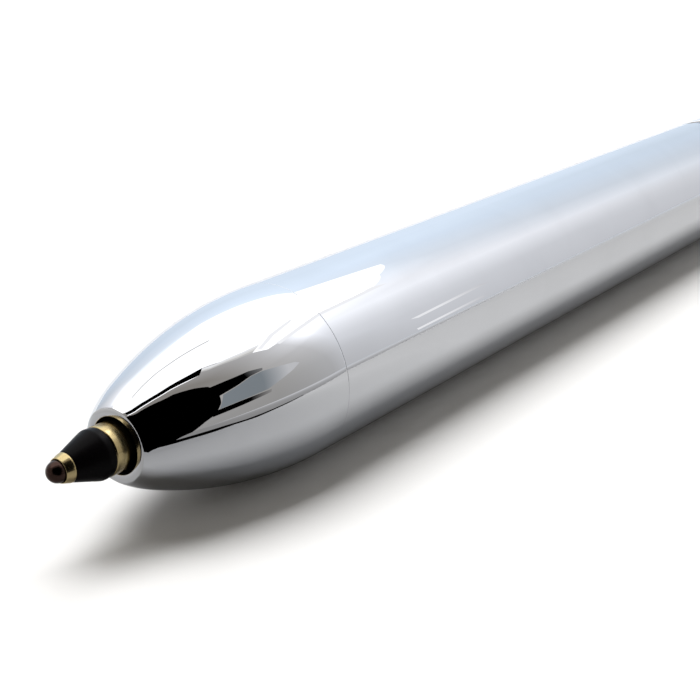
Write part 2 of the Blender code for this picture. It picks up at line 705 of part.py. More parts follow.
def make_upper_barrel(shop, twist):
    barrel = chamfered_tube(UPPER_START, UPPER_END, BARREL_RADIUS, BARREL_BORE)
    shell(shop, "upper_barrel", barrel, "polished_chrome", twist)
    middle = (RING_START + RING_END) / 2
    half = RING_GROOVE_WIDTH / 2
    floor = BARREL_RADIUS - RING_GROOVE_DEPTH
    ring = [
        (RING_END, BARREL_RADIUS - EDGE_CHAMFER), (RING_END - EDGE_CHAMFER, BARREL_RADIUS),
        (middle + half, BARREL_RADIUS), (middle + half, floor),
        (middle - half, floor), (middle - half, BARREL_RADIUS),
        (RING_START + EDGE_CHAMFER, BARREL_RADIUS), (RING_START, BARREL_RADIUS - EDGE_CHAMFER),
        (RING_START, BARREL_BORE), (RING_END, BARREL_BORE),
    ]
    shell(shop, "centre_ring", ring, "polished_chrome", twist)
    spigot_start = CAM_VALLEY + STOP_GAP
    plug = [
        (PLUG_END, 0), (PLUG_END, PRESSED_RADIUS), (PLUG_START, PRESSED_RADIUS),
        (PLUG_START, PLUG_SPIGOT_RADIUS), (spigot_start, PLUG_SPIGOT_RADIUS), (spigot_start, 0),
    ]
    shell(shop, "end_plug", plug, "brass", twist)


def make_tail(shop, twist):
    groove_start = COLLAR_END + O_RING_INSET
    groove_end = groove_start + O_RING_THICKNESS + 2 * FIT_CLEARANCE
    groove_radius = TAIL_SPIGOT_RADIUS - O_RING_GROOVE_DEPTH
    outline = [
        (TAIL_SPIGOT_END, TAIL_SPIGOT_RADIUS - EDGE_CHAMFER),
        (TAIL_SPIGOT_END - EDGE_CHAMFER, TAIL_SPIGOT_RADIUS),
        (groove_end, TAIL_SPIGOT_RADIUS), (groove_end, groove_radius),
        (groove_start, groove_radius), (groove_start, TAIL_SPIGOT_RADIUS),
        (COLLAR_END, TAIL_SPIGOT_RADIUS), (COLLAR_END, BARREL_RADIUS - EDGE_CHAMFER),
        (COLLAR_END - EDGE_CHAMFER, BARREL_RADIUS), (COLLAR_START + EDGE_CHAMFER, BARREL_RADIUS),
        (COLLAR_START, BARREL_RADIUS - EDGE_CHAMFER), (COLLAR_START, PRESSED_RADIUS),
        (COLLAR_START - COLLAR_SPIGOT_LENGTH, PRESSED_RADIUS),
        (COLLAR_START - COLLAR_SPIGOT_LENGTH, COLLAR_BORE), (TAIL_SPIGOT_END, COLLAR_BORE),
    ]
    collar = shell(shop, "clip_collar", outline, "polished_chrome", twist)

    ring_radius = O_RING_THICKNESS / 2
    ring_middle = (groove_start + groove_end) / 2
    seat_radius = groove_radius + FIT_CLEARANCE / 2 + ring_radius
    section = arc((ring_middle, seat_radius), ring_radius, 0, 360)[:-1]
    turned(shop, "crown_o_ring", section, "black_rubber", twist, segments=TUBE_SEGMENTS)

    ferrule_bore = ERASER_RADIUS + FIT_CLEARANCE
    ferrule = tube_outline(FERRULE_END - FERRULE_LENGTH, FERRULE_END, FERRULE_RADIUS, ferrule_bore)
    turned(shop, "eraser_ferrule", ferrule, "brass", twist)
    eraser_start = ERASER_END - ERASER_LENGTH
    eraser = [
        (ERASER_END, 0), (ERASER_END, ERASER_RADIUS - ERASER_EDGE), (ERASER_END - ERASER_EDGE, ERASER_RADIUS),
        (eraser_start, ERASER_RADIUS), (eraser_start, 0),
    ]
    turned(shop, "eraser", eraser, "eraser_rubber", twist)
    return collar


def make_crown(shop, pen):
    edge = arc((CROWN_END - CROWN_ROUND, BARREL_RADIUS - CROWN_ROUND), CROWN_ROUND, 0, 90)
    hollow_round = CROWN_ROUND / 2
    outline = [
        (CROWN_END, 0), *edge, (CROWN_START + EDGE_CHAMFER, BARREL_RADIUS),
        (CROWN_START, BARREL_RADIUS - EDGE_CHAMFER), (CROWN_START, CROWN_BORE),
        (CROWN_INSIDE - hollow_round, CROWN_BORE), (CROWN_INSIDE, CROWN_BORE - hollow_round),
        (CROWN_INSIDE, 0),
    ]
    shell(shop, "crown", outline, "polished_chrome", pen)


def clip_outline():
    """The clip's side view round its hinge: x runs to the tail and y away from the barrel."""
    pad_low = STOP_GAP - HINGE_HEIGHT
    pad_x = -CLIP_LENGTH + CLIP_NOSE_ROUND + CLIP_PAD_RADIUS
    pad_y = pad_low + CLIP_PAD_RADIUS
    nose_x = -CLIP_LENGTH + CLIP_NOSE_ROUND
    tail_x = CLIP_TAIL - CLIP_TAIL_ROUND
    heel_low = RUNNING_CLEARANCE
    heel_x = CLIP_TAIL - CLIP_HEEL_LENGTH
    tail_underside = CLIP_TOP - CLIP_TAIL_THICKNESS
    heel_slope = tail_underside - heel_low
    return [
        *arc((tail_x, CLIP_TOP - CLIP_TAIL_ROUND), CLIP_TAIL_ROUND, 0, 90),
        *arc((nose_x, CLIP_TOP - CLIP_NOSE_ROUND), CLIP_NOSE_ROUND, 90, 180),
        *arc((pad_x, pad_y), CLIP_PAD_RADIUS, 190, 350),
        (pad_x + 2 * CLIP_PAD_RADIUS, CLIP_UNDERSIDE),
        (-CLIP_CHEEK_RADIUS, CLIP_UNDERSIDE),
        *arc((0, 0), CLIP_CHEEK_RADIUS, 180, 360),
        (CLIP_CHEEK_RADIUS, tail_underside),
        (heel_x - heel_slope / 2, tail_underside),
        (heel_x, heel_low),
        (CLIP_TAIL, heel_low),
    ]


def make_clip(shop, twist, collar):
    """The sprung clip, its hinge pin, its leaf spring and the boss that carries the pin."""
    hinge = shop.frame("clip_hinge", twist)
    out = (math.cos(CLIP_TURN), math.sin(CLIP_TURN))
    to_clip = Matrix(((0, out[0], -out[1]), (0, out[1], out[0]), (1, 0, 0)))
    hinge.rotation_euler = to_clip.to_euler()
    hinge.location = (HINGE_RADIUS * out[0], HINGE_RADIUS * out[1], HINGE_STATION)

    half = CLIP_WIDTH / 2
    pin_hole = HINGE_PIN_DIAMETER / 2 + FIT_CLEARANCE
    boss_half = half - CLIP_CHEEK_WIDTH - RUNNING_CLEARANCE
    boss_foot = -HINGE_HEIGHT - BARREL_WALL
    boss_outline = [
        (HINGE_BOSS_RADIUS, boss_foot), *arc((0, 0), HINGE_BOSS_RADIUS, 0, 180),
        (-HINGE_BOSS_RADIUS, boss_foot),
    ]
    boss = shop.cutter("hinge_boss", plate_mesh("hinge_boss", boss_outline, 2 * boss_half), hinge)
    bore = shop.cutter("hinge_bore", cylinder_mesh("hinge_bore", pin_hole, -CLIP_WIDTH, CLIP_WIDTH), hinge)
    add_boolean(collar, boss, "UNION")
    add_boolean(collar, bore, "DIFFERENCE")

    clip = shop.piece("clip", plate_mesh("clip", clip_outline(), CLIP_WIDTH), "polished_chrome", hinge)
    slot_half = half - CLIP_CHEEK_WIDTH
    slot_x = HINGE_BOSS_RADIUS + 2 * STOP_GAP
    slot_top = CLIP_TOP - CLIP_TAIL_THICKNESS - FIT_CLEARANCE
    slot = box_mesh("cheek_slot", (-slot_x, -2 * HINGE_HEIGHT, -slot_half), (slot_x, slot_top, slot_half))
    add_boolean(clip, shop.cutter("cheek_slot", slot, hinge), "DIFFERENCE")
    add_boolean(clip, bore, "DIFFERENCE")

    pin_end = half - FIT_CLEARANCE
    pin = cylinder_mesh("clip_pin", HINGE_PIN_DIAMETER / 2, -pin_end, pin_end)
    pin.shade_smooth()
    pin.set_sharp_from_angle(angle=math.radians(30))
    shop.piece("clip_pin", pin, "spring_steel", hinge)

    foot = FIT_CLEARANCE - HINGE_HEIGHT
    start = HINGE_BOSS_RADIUS + STOP_GAP
    bend = (start + CLIP_TAIL) / 2
    end = CLIP_TAIL - RUNNING_CLEARANCE
    leaf = [
        (start, foot), (bend, foot), (end, foot + CLIP_SPRING_RISE),
        (end, foot + CLIP_SPRING_RISE + CLIP_SPRING_THICKNESS),
        (bend, foot + CLIP_SPRING_THICKNESS), (start, foot + CLIP_SPRING_THICKNESS),
    ]
    shop.piece("clip_spring", plate_mesh("clip_spring", leaf, CLIP_SPRING_WIDTH), "spring_steel", hinge)


def main():
    clear_scene()
    shop = Workshop()
    pen = shop.frame("pen_axis", None, (-REST_STATION, 0, AXIS_HEIGHT))
    pen.rotation_euler.y = math.pi / 2
    core = shop.frame("core_axis", pen)
    core.rotation_euler.z = CLIP_TURN
    twist = shop.frame("twist_axis", pen)
    cam_axis = shop.frame("cam_axis", twist)
    cam_axis.rotation_euler.z = CLIP_TURN
    make_nose(shop, pen)
    make_lower_body(shop, pen, core)
    make_cartridge(shop, core)
    make_return_spring(shop, core, "ball_return_spring", -1, RETURN_SPRING_SHORT)
    make_return_spring(shop, core, "pencil_return_spring", 1, RETURN_SPRING_SHORT + CARRIAGE_TRAVEL)

    ball_slide = shop.frame("ball_slide", core, (-REFILL_OFFSET, 0, PIVOT))
    make_carriage(shop, ball_slide, "ball")
    ball_peg = shop.frame("ball_peg", ball_slide)
    ball_peg.rotation_euler.y = -TILT
    make_ball_refill(shop, ball_peg)

    pencil_slide = shop.frame("pencil_slide", core, (REFILL_OFFSET, 0, PIVOT + CARRIAGE_TRAVEL))
    make_carriage(shop, pencil_slide, "pencil")
    pencil_peg = shop.frame("pencil_peg", pencil_slide)
    make_pencil(shop, pencil_peg)

    make_cam(shop, cam_axis)
    make_upper_barrel(shop, twist)
    collar = make_tail(shop, twist)
    make_crown(shop, pen)
    make_clip(shop, twist, collar)


main()
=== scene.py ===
"""Polished twist pen with a ballpoint, a lead pencil, a sprung clip and an eraser under its crown."""
import json
import math

import bmesh
import bpy
from bpy.props import FloatProperty, FloatVectorProperty, IntProperty, PointerProperty
from bpy.types import NodeSocket, Operator, Panel, PropertyGroup
from mathutils import Matrix, Vector


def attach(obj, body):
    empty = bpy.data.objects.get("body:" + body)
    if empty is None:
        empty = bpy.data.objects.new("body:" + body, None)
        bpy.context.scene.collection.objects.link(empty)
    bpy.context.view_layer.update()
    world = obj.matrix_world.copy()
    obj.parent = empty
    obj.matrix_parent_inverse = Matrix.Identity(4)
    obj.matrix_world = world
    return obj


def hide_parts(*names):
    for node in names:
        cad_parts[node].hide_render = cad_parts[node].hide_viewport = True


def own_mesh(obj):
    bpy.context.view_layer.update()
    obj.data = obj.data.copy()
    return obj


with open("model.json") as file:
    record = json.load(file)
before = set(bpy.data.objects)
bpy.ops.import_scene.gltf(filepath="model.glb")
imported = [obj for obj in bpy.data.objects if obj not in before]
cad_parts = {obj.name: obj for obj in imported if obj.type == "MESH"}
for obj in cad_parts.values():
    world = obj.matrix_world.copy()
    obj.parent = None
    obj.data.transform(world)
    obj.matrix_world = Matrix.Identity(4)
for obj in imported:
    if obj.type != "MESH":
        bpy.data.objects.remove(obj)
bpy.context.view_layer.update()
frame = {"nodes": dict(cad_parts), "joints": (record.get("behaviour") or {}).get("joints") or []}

bl_info = {
    "name": "Twist Pen Workshop",
    "version": (1, 0, 0),
    "blender": (4, 5, 0),
    "location": "View3D > Sidebar > Pen",
    "description": "Turns, cuts, winds and finishes the pieces of a multifunction twist pen on its frame",
    "category": "Object",
}

MM = 0.001
JOINTS = {joint["name"]: joint for joint in frame["joints"]}

# Stations run along the pen from the nose rim, in millimetres. REST_STATION lies over the frame's origin.
REST_STATION = 38.65
AXIS_HEIGHT = 4.57785
BARREL_RADIUS = 4.5778
BARREL_BORE = 4.1
NOSE_END = 11.0
LOWER_START = 11.15
LOWER_END = 66.15
RING_START = 67.65
RING_END = 70.05
UPPER_START = 70.2
UPPER_END = 121.65
COLLAR_START = 121.8
COLLAR_END = 127.8
CROWN_START = 127.95
CROWN_END = 136.5
RIM_RADIUS = 1.9
RIM_DRAW = 0.16
RIM_DRAW_LENGTH = 1.5
HOLE_RADIUS = 1.345
TUBE_FRONT = 52.15
TUBE_REAR = 111.45
TUBE_RADIUS = 4.0
TUBE_BORE = 3.8
SLOT_FRONT = 55.1
SLOT_REAR = 62.4
SLOT_WIDTH = 1.0
CORE_TURN = 65.28
PIVOT_TO_POINT = 66.6
REFILL_TILT = 2.45403
REFILL_RADIUS = 1.175
REFILL_BORE = 0.95
STEM_RADIUS = 0.9
ROUND_STEPS = 4
SLIM_FACETS = 96
LINE_DEPTH = 0.002 * MM
ALONG_PEN = Matrix.Rotation(math.pi / 2, 4, "Y")
PEN_PLACE = Matrix.Translation((-REST_STATION * MM, 0, AXIS_HEIGHT * MM)) @ ALONG_PEN


def length_setting(name, description, millimetres):
    return FloatProperty(
        name=name, description=description, default=millimetres * MM, unit="LENGTH", precision=6,
    )


def colour_setting(name, description, default):
    return FloatVectorProperty(
        name=name, description=description, default=default, subtype="COLOR", size=3, min=0, max=1,
    )


class PenSizes(PropertyGroup):
    """Sizes of the visible finish that a maker would change."""

    facets: IntProperty(
        name="Facets", description="Facets round each wide turned piece", default=144, min=24, max=256,
    )
    seam: length_setting("Seam", "Gap that shows between two chrome pieces", 0.010)
    thread_pitch: length_setting("Thread pitch", "Pitch of the nose thread", 0.4)
    clip_edge: length_setting("Clip edge", "Rounding along the clip's edges", 0.16)


class PenFinishes(PropertyGroup):
    """Colours of the pen's finishes."""

    chrome: colour_setting("Chrome", "Colour of the polished plating", (0.78, 0.788, 0.812))
    brass: colour_setting("Brass", "Colour of the bare brass", (0.62, 0.49, 0.25))
    steel: colour_setting("Steel", "Colour of springs and pins", (0.42, 0.42, 0.43))
    black: colour_setting(
        "Black plastic", "Colour of the tip cone and the dark mouldings", (0.0012, 0.0008, 0.0011),
    )
    ball: colour_setting("Writing ball", "Colour of the inked ball", (0.066, 0.039, 0.032))
    eraser: colour_setting("Eraser", "Colour of the eraser", (0.80, 0.76, 0.70))


class PenStage(PropertyGroup):
    """Light and floor."""

    floor: colour_setting("Floor", "Colour of the floor", (0.88, 0.88, 0.88))
    soft_light: FloatProperty(
        name="Soft light", description="Power of the overhead light", default=2.6, unit="POWER",
    )
    ambient: FloatProperty(
        name="Ambient", description="Level of the light from all round", default=0.21, min=0,
    )
    lens: FloatProperty(
        name="Lens", description="Focal length of the camera", default=65.421, unit="CAMERA",
    )


def start_clean():
    if bpy.context.mode != "OBJECT":
        bpy.ops.object.mode_set(mode="OBJECT")
    bpy.ops.object.select_all(action="DESELECT")


def pick(piece):
    start_clean()
    piece.select_set(True)
    bpy.context.view_layer.objects.active = piece


def soften(corners):
    """Round an outline's corners. A corner is (station, radius) or (station, radius, rounding)."""
    points = []
    for index, corner in enumerate(corners):
        here = Vector(corner[:2])
        rounding = corner[2] if len(corner) > 2 else 0
        if rounding == 0:
            points.append(tuple(here))
            continue
        before = Vector(corners[index - 1][:2])
        after = Vector(corners[(index + 1) % len(corners)][:2])
        first = here + (before - here).normalized() * rounding
        last = here + (after - here).normalized() * rounding
        for step in range(ROUND_STEPS + 1):
            share = step / ROUND_STEPS
            points.append(tuple(first.lerp(here, share).lerp(here.lerp(last, share), share)))
    return points


def arc(centre, radius, start, end, steps):
    angles = [math.radians(start + (end - start) * step / steps) for step in range(steps + 1)]
    return [(centre[0] + radius * math.cos(angle), centre[1] + radius * math.sin(angle)) for angle in angles]


def tube_outline(start, end, bore, radius, edges):
    """A plain tube. The edges are the roundings of its front bore, its front, its rear and its rear bore."""
    ends = ((start, bore), (start, radius), (end, radius), (end, bore))
    return [(*corner, edge) for corner, edge in zip(ends, edges)]


def draw_outline(name, points, closed):
    """Draw (along, across) millimetre points as a chain of edges: along is local Z and across is local X."""
    start_clean()
    bpy.ops.mesh.primitive_plane_add(size=MM, location=(0, 0, 0))
    piece = bpy.context.object
    piece.name = name
    piece.data.name = name
    bpy.ops.object.mode_set(mode="EDIT")
    bpy.ops.mesh.select_mode(type="VERT")
    bpy.ops.mesh.merge(type="CENTER")
    bpy.ops.transform.translate(value=(points[0][1] * MM, 0, points[0][0] * MM))
    for (along, across), (next_along, next_across) in zip(points, points[1:]):
        step = ((next_across - across) * MM, 0, (next_along - along) * MM)
        bpy.ops.mesh.extrude_vertices_move(TRANSFORM_OT_translate={"value": step})
    if closed:
        mesh = bmesh.from_edit_mesh(piece.data)
        mesh.verts.ensure_lookup_table()
        mesh.verts[0].select_set(True)
        bmesh.update_edit_mesh(piece.data)
        bpy.ops.mesh.edge_face_add()
    bpy.ops.mesh.select_all(action="SELECT")
    return piece


def finish_shape(piece, place, smooth_angle=35):
    """Close the mesh, turn its faces outwards and put its place into the mesh."""
    bpy.ops.mesh.select_all(action="SELECT")
    bpy.ops.mesh.remove_doubles(threshold=0.001 * MM)
    bpy.ops.mesh.normals_make_consistent(inside=False)
    bpy.ops.object.mode_set(mode="OBJECT")
    bpy.ops.object.shade_smooth_by_angle(angle=math.radians(smooth_angle))
    shading = piece.modifiers.new("even_shading", "WEIGHTED_NORMAL")
    shading.keep_sharp = True
    bpy.ops.object.modifier_apply(modifier=shading.name)
    settle(piece, place)


def settle(piece, place):
    """Put a piece's place into its mesh."""
    piece.matrix_world = place
    bpy.ops.object.transform_apply(location=True, rotation=True, scale=True)


def spin(name, corners, place, closed=True, facets=None):
    """Spin an outline round local Z, as on a lathe. An open outline starts and ends on the axis."""
    piece = draw_outline(name, soften(corners), closed)
    bpy.ops.mesh.spin(
        steps=facets or bpy.context.scene.pen_sizes.facets, angle=math.tau, center=(0, 0, 0), axis=(0, 0, 1),
        use_auto_merge=True,
    )
    finish_shape(piece, place)
    return piece


def plate(name, points, width, edge, place):
    """Fill an outline, give it its width along local Y and round its edges."""
    piece = draw_outline(name, points, closed=True)
    bpy.ops.mesh.edge_face_add()
    bpy.ops.transform.translate(value=(0, -width * MM / 2, 0))
    bpy.ops.mesh.extrude_region_move(TRANSFORM_OT_translate={"value": (0, width * MM, 0)})
    bpy.ops.mesh.select_all(action="SELECT")
    bpy.ops.mesh.normals_make_consistent(inside=False)
    bpy.ops.object.mode_set(mode="OBJECT")
    if edge:
        round_edges(piece, edge)
    bpy.ops.object.mode_set(mode="EDIT")
    finish_shape(piece, place)
    return piece


def wind(name, radius, wire, length, coils, place):
    """Wind a wire round local Z, as on a spring winder."""
    wire_sides = 10
    steps_per_coil = 36
    start_clean()
    bpy.ops.mesh.primitive_circle_add(
        vertices=wire_sides, radius=wire * MM / 2, location=(radius * MM, 0, wire * MM / 2),
        rotation=(math.pi / 2, 0, 0),
    )
    piece = bpy.context.object
    piece.name = name
    piece.data.name = name
    bpy.ops.object.transform_apply(location=True, rotation=True, scale=True)
    winding = piece.modifiers.new("winding", "SCREW")
    winding.screw_offset = (length - wire) * MM / coils
    winding.iterations = coils
    winding.steps = winding.render_steps = steps_per_coil
    bpy.ops.object.modifier_apply(modifier=winding.name)
    bpy.ops.object.mode_set(mode="EDIT")
    bpy.ops.mesh.select_all(action="SELECT")
    bpy.ops.mesh.fill_holes(sides=0)
    finish_shape(piece, place)
    return piece


def round_edges(piece, edge, angle=50):
    bevel = piece.modifiers.new("edge_round", "BEVEL")
    bevel.width = edge
    bevel.segments = 3
    bevel.limit_method = "ANGLE"
    bevel.angle_limit = math.radians(angle)
    bpy.context.view_layer.objects.active = piece
    bpy.ops.object.modifier_apply(modifier=bevel.name)


def cut_away(piece, cutter):
    cut = piece.modifiers.new("cut", "BOOLEAN")
    cut.operation = "DIFFERENCE"
    cut.solver = "EXACT"
    cut.object = cutter
    pick(piece)
    bpy.ops.object.modifier_apply(modifier=cut.name)
    pick(cutter)
    bpy.ops.object.delete()
    pick(piece)


def refill_place():
    joint = JOINTS["ball_tilt"]
    tilt = Matrix.Rotation(math.radians(-REFILL_TILT), 4, Vector(joint["axis"]))
    return Matrix.Translation(joint["pos_m"]) @ tilt @ ALONG_PEN


def pencil_place():
    return Matrix.Translation(JOINTS["pencil_tilt"]["pos_m"]) @ ALONG_PEN


def clip_place():
    """Local Z runs to the tail, local X away from the barrel and local Y along the hinge pin."""
    joint = JOINTS["clip_lift"]
    along = Vector((1, 0, 0))
    pin = -Vector(joint["axis"])
    out = pin.cross(along)
    turn_to = Matrix((out, along.cross(out), along)).transposed().to_4x4()
    return Matrix.Translation(joint["pos_m"]) @ turn_to


def seam_faces(before, after):
    """Where the pieces before and after a seam end, so that only the visible gap is left."""
    seam = bpy.context.scene.pen_sizes.seam / MM
    return (before + after - seam) / 2, (before + after + seam) / 2


def nose_radius(station):
    """The bullet's radius: one arc that meets the barrel without a kink, drawn in a little at the rim."""
    rise = BARREL_RADIUS - RIM_RADIUS
    sweep = (NOSE_END ** 2 + rise ** 2) / (2 * rise)
    radius = BARREL_RADIUS - sweep + math.sqrt(sweep ** 2 - (NOSE_END - station) ** 2)
    return radius - RIM_DRAW * max(0, 1 - station / RIM_DRAW_LENGTH) ** 2


def feed(tree, node, sockets):
    """Give each of a node's sockets a value, or the output of another node."""
    for label, value in sockets.items():
        if isinstance(value, NodeSocket):
            tree.links.new(value, node.inputs[label])
        else:
            node.inputs[label].default_value = value


def add_node(tree, kind, sockets=None, **values):
    node = tree.nodes.new("ShaderNode" + kind)
    for key, value in values.items():
        setattr(node, key, value)
    feed(tree, node, sockets or {})
    return node


def object_place(tree):
    return add_node(tree, "TexCoord").outputs["Object"]


def split(tree, vector):
    return add_node(tree, "SeparateXYZ", {0: vector}).outputs


def noise(tree, vector, scale, detail, roughness=0.5, distortion=0.0):
    return add_node(tree, "TexNoise", {
        "Vector": vector, "Scale": scale, "Detail": detail, "Roughness": roughness, "Distortion": distortion,
    }).outputs["Fac"]


def spread(tree, value, low, high, to_low=0.0, to_high=1.0):
    """Carry a value from one range to another, held at both ends."""
    return add_node(tree, "MapRange", {
        "Value": value, "From Min": low, "From Max": high, "To Min": to_low, "To Max": to_high,
    }, clamp=True).outputs["Result"]


def combine(tree, operation, first, second):
    return add_node(tree, "Math", {0: first, 1: second}, operation=operation).outputs[0]


def vector_math(tree, operation, *vectors):
    return add_node(tree, "VectorMath", dict(enumerate(vectors)), operation=operation).outputs


def opaque(colour):
    return (*colour, 1)


def shade(colour, factor):
    return tuple(min(1.0, channel * factor) for channel in colour)


def mix(tree, factor, first, second):
    """Colour that goes from first to second. Each is an opaque colour or the output of another node."""
    return add_node(
        tree, "Mix", {"Factor": factor, "A": first, "B": second}, data_type="RGBA",
    ).outputs["Result"]


def ramp(tree, value, stops):
    """Levels or colours over a value."""
    node = add_node(tree, "ValToRGB", {"Fac": value})
    elements = node.color_ramp.elements
    while len(elements) < len(stops):
        elements.new(0.5)
    for element, (position, level) in zip(elements, stops):
        element.position = position
        element.color = opaque(level if isinstance(level, tuple) else (level, level, level))
    return node.outputs["Color"]


def bump(tree, height, strength, distance):
    return add_node(tree, "Bump", {
        "Strength": strength, "Distance": distance, "Height": height,
    }).outputs["Normal"]


def new_group(name, inputs, outputs):
    group = bpy.data.node_groups.new(name, "ShaderNodeTree")
    for label, value in inputs.items():
        socket = group.interface.new_socket(label, in_out="INPUT", socket_type="NodeSocketFloat")
        socket.default_value = value
    for label in outputs:
        group.interface.new_socket(label, in_out="OUTPUT", socket_type="NodeSocketFloat")
    return group, group.nodes.new("NodeGroupInput").outputs, group.nodes.new("NodeGroupOutput")


def turned_lines(name):
    """Fine rings round the pen's axis, as a turning tool and a polishing wheel leave them."""
    group, source, result = new_group(name, {"Lines per millimetre": 12.0}, ["Lines"])
    waves_across = 60.0
    x, y, z = split(group, object_place(group))
    lines_per_metre = combine(group, "MULTIPLY", source["Lines per millimetre"], 1 / MM)
    stretched = add_node(group, "CombineXYZ", {
        "X": combine(group, "MULTIPLY", x, lines_per_metre),
        "Y": combine(group, "MULTIPLY", y, waves_across),
        "Z": combine(group, "MULTIPLY", z, waves_across),
    })
    feed(group, result, {"Lines": noise(group, stretched.outputs[0], 1.0, 2.0)})
    return group


def handling_marks(name):
    """Soft smudges with a few fine scratches across them."""
    group, source, result = new_group(name, {"Smudge size": 220.0, "Scratches": 0.3}, ["Smudges", "Marks"])
    place = object_place(group)
    cloud = noise(group, place, source["Smudge size"], 5.0, distortion=0.6)
    smudges = spread(group, cloud, 0.42, 0.68)
    stretched = add_node(group, "Mapping", {
        "Vector": place, "Rotation": (0.4, 0.2, 0.5), "Scale": (150.0, 2600.0, 2600.0),
    })
    scratch = spread(group, noise(group, stretched.outputs[0], 1.0, 3.0, 0.7), 0.66, 0.74)
    scratches = combine(group, "MULTIPLY", scratch, source["Scratches"])
    feed(group, result, {"Smudges": smudges, "Marks": combine(group, "MAXIMUM", smudges, scratches)})
    return group


def moulded_grain(name):
    """The fine even grain of a moulded surface."""
    group, source, result = new_group(name, {"Grain size": 9000.0}, ["Grain", "Mottle"])
    place = object_place(group)
    grain = noise(group, place, source["Grain size"], 3.0)
    mottle = spread(group, noise(group, place, 500.0, 4.0), 0.35, 0.65)
    feed(group, result, {"Grain": grain, "Mottle": mottle})
    return group


def new_material(name):
    material = bpy.data.materials.new(name)
    material.use_nodes = True
    tree = material.node_tree
    return material, tree, tree.nodes["Principled BSDF"]


def use_group(tree, build, sockets=None):
    """Use a node group, which is built the first time it is asked for."""
    name = build.__name__.replace("_", " ").title()
    group = bpy.data.node_groups.get(name) or build(name)
    return add_node(tree, "Group", sockets, node_tree=group).outputs


def metal(name, colour, rough, worn_rough, lines, line_strength, dull=0.9):
    """Bare or plated metal with turned lines, smudges and fine scratches."""
    if name in bpy.data.materials:
        return bpy.data.materials[name]
    material, tree, surface = new_material(name)
    marks = use_group(tree, handling_marks)
    rings = use_group(tree, turned_lines, {"Lines per millimetre": lines})
    feed(tree, surface, {
        "Metallic": 1.0,
        "Base Color": mix(tree, marks["Smudges"], opaque(colour), opaque(shade(colour, dull))),
        "Roughness": spread(tree, marks["Marks"], 0, 1, rough, worn_rough),
        "Normal": bump(tree, rings["Lines"], line_strength, LINE_DEPTH),
    })
    return material


def moulding(name, colour, rough, grain, depth=0.004, strength=0.35, mottle=0.8, coat=0.0, gloss=0.5):
    """Moulded plastic or rubber with a fine grain."""
    if name in bpy.data.materials:
        return bpy.data.materials[name]
    material, tree, surface = new_material(name)
    pores = use_group(tree, moulded_grain, {"Grain size": grain})
    feed(tree, surface, {
        "Coat Weight": coat,
        "Specular IOR Level": gloss,
        "Base Color": mix(tree, pores["Mottle"], opaque(colour), opaque(shade(colour, mottle))),
        "Roughness": spread(tree, pores["Grain"], 0.3, 0.7, rough * 0.8, rough * 1.2),
        "Normal": bump(tree, pores["Grain"], strength, depth * MM),
    })
    return material


def finish(slot):
    """The finish of one of the frame's material slots, or the painted shade of the nose's bore."""
    colours = bpy.context.scene.pen_finishes
    # Name, colour, roughness fresh and worn, turned lines per millimetre, their strength, and dulling.
    metals = {
        "polished_chrome": ("chrome_plating", colours.chrome, 0.003, 0.010, 10.0, 0.004, 0.97),
        "brass": ("bare_brass", colours.brass, 0.16, 0.27, 14.0, 0.20, 0.86),
        "spring_steel": ("drawn_steel", colours.steel, 0.22, 0.36, 18.0, 0.08, 0.8),
        "carbide": ("inked_carbide", colours.ball, 0.12, 0.26, 30.0, 0.04, 0.6),
        # The nose's bore is a dark metal painted near-black as shade inside the recess.
        "dull_bore": ("dull_bore", (0.055, 0.048, 0.038), 0.35, 0.5, 8.0, 0.3, 0.7),
    }
    if slot in metals:
        return metal(*metals[slot])
    # Name, colour, roughness and grains per metre.
    mouldings = {
        "black_plastic": ("black_moulding", colours.black, 0.34, 9000.0),
        "black_rubber": ("moulded_rubber", (0.018, 0.018, 0.018), 0.6, 12000.0),
        "graphite": ("pencil_graphite", (0.035, 0.035, 0.038), 0.42, 14000.0),
        "eraser_rubber": ("soft_eraser", colours.eraser, 0.85, 6000.0),
        "grey_plastic": ("grey_moulding", (0.22, 0.22, 0.23), 0.45, 9000.0),
        "white_plastic": ("white_moulding", (0.72, 0.71, 0.68), 0.42, 9000.0),
        "ink": ("wet_ink", (0.006, 0.010, 0.045), 0.12, 3000.0),
        "grease": ("ink_grease", (0.62, 0.50, 0.24), 0.2, 3000.0),
    }
    details = {
        "black_plastic": {"gloss": 0.06},
        "graphite": {"strength": 0.3},
        "eraser_rubber": {"depth": 0.02, "strength": 0.5, "mottle": 0.93},
        "white_plastic": {"mottle": 0.94},
        "ink": {"strength": 0.05, "coat": 0.5},
        "grease": {"strength": 0.1, "mottle": 0.9, "coat": 0.3},
    }
    return moulding(*mouldings[slot], **details.get(slot, {}))


def put_on(piece, body, slot, *nodes):
    """Finish a piece and let it ride on its body in place of the nodes it stands for."""
    piece.data.materials.clear()
    piece.data.materials.append(finish(slot))
    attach(piece, body)
    if nodes:
        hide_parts(*nodes)


def turn(name, corners, body, slot, node, place=PEN_PLACE, **shape):
    """Turn a piece and put it on its body."""
    piece = spin(name, corners, place, **shape)
    put_on(piece, body, slot, node)
    return piece


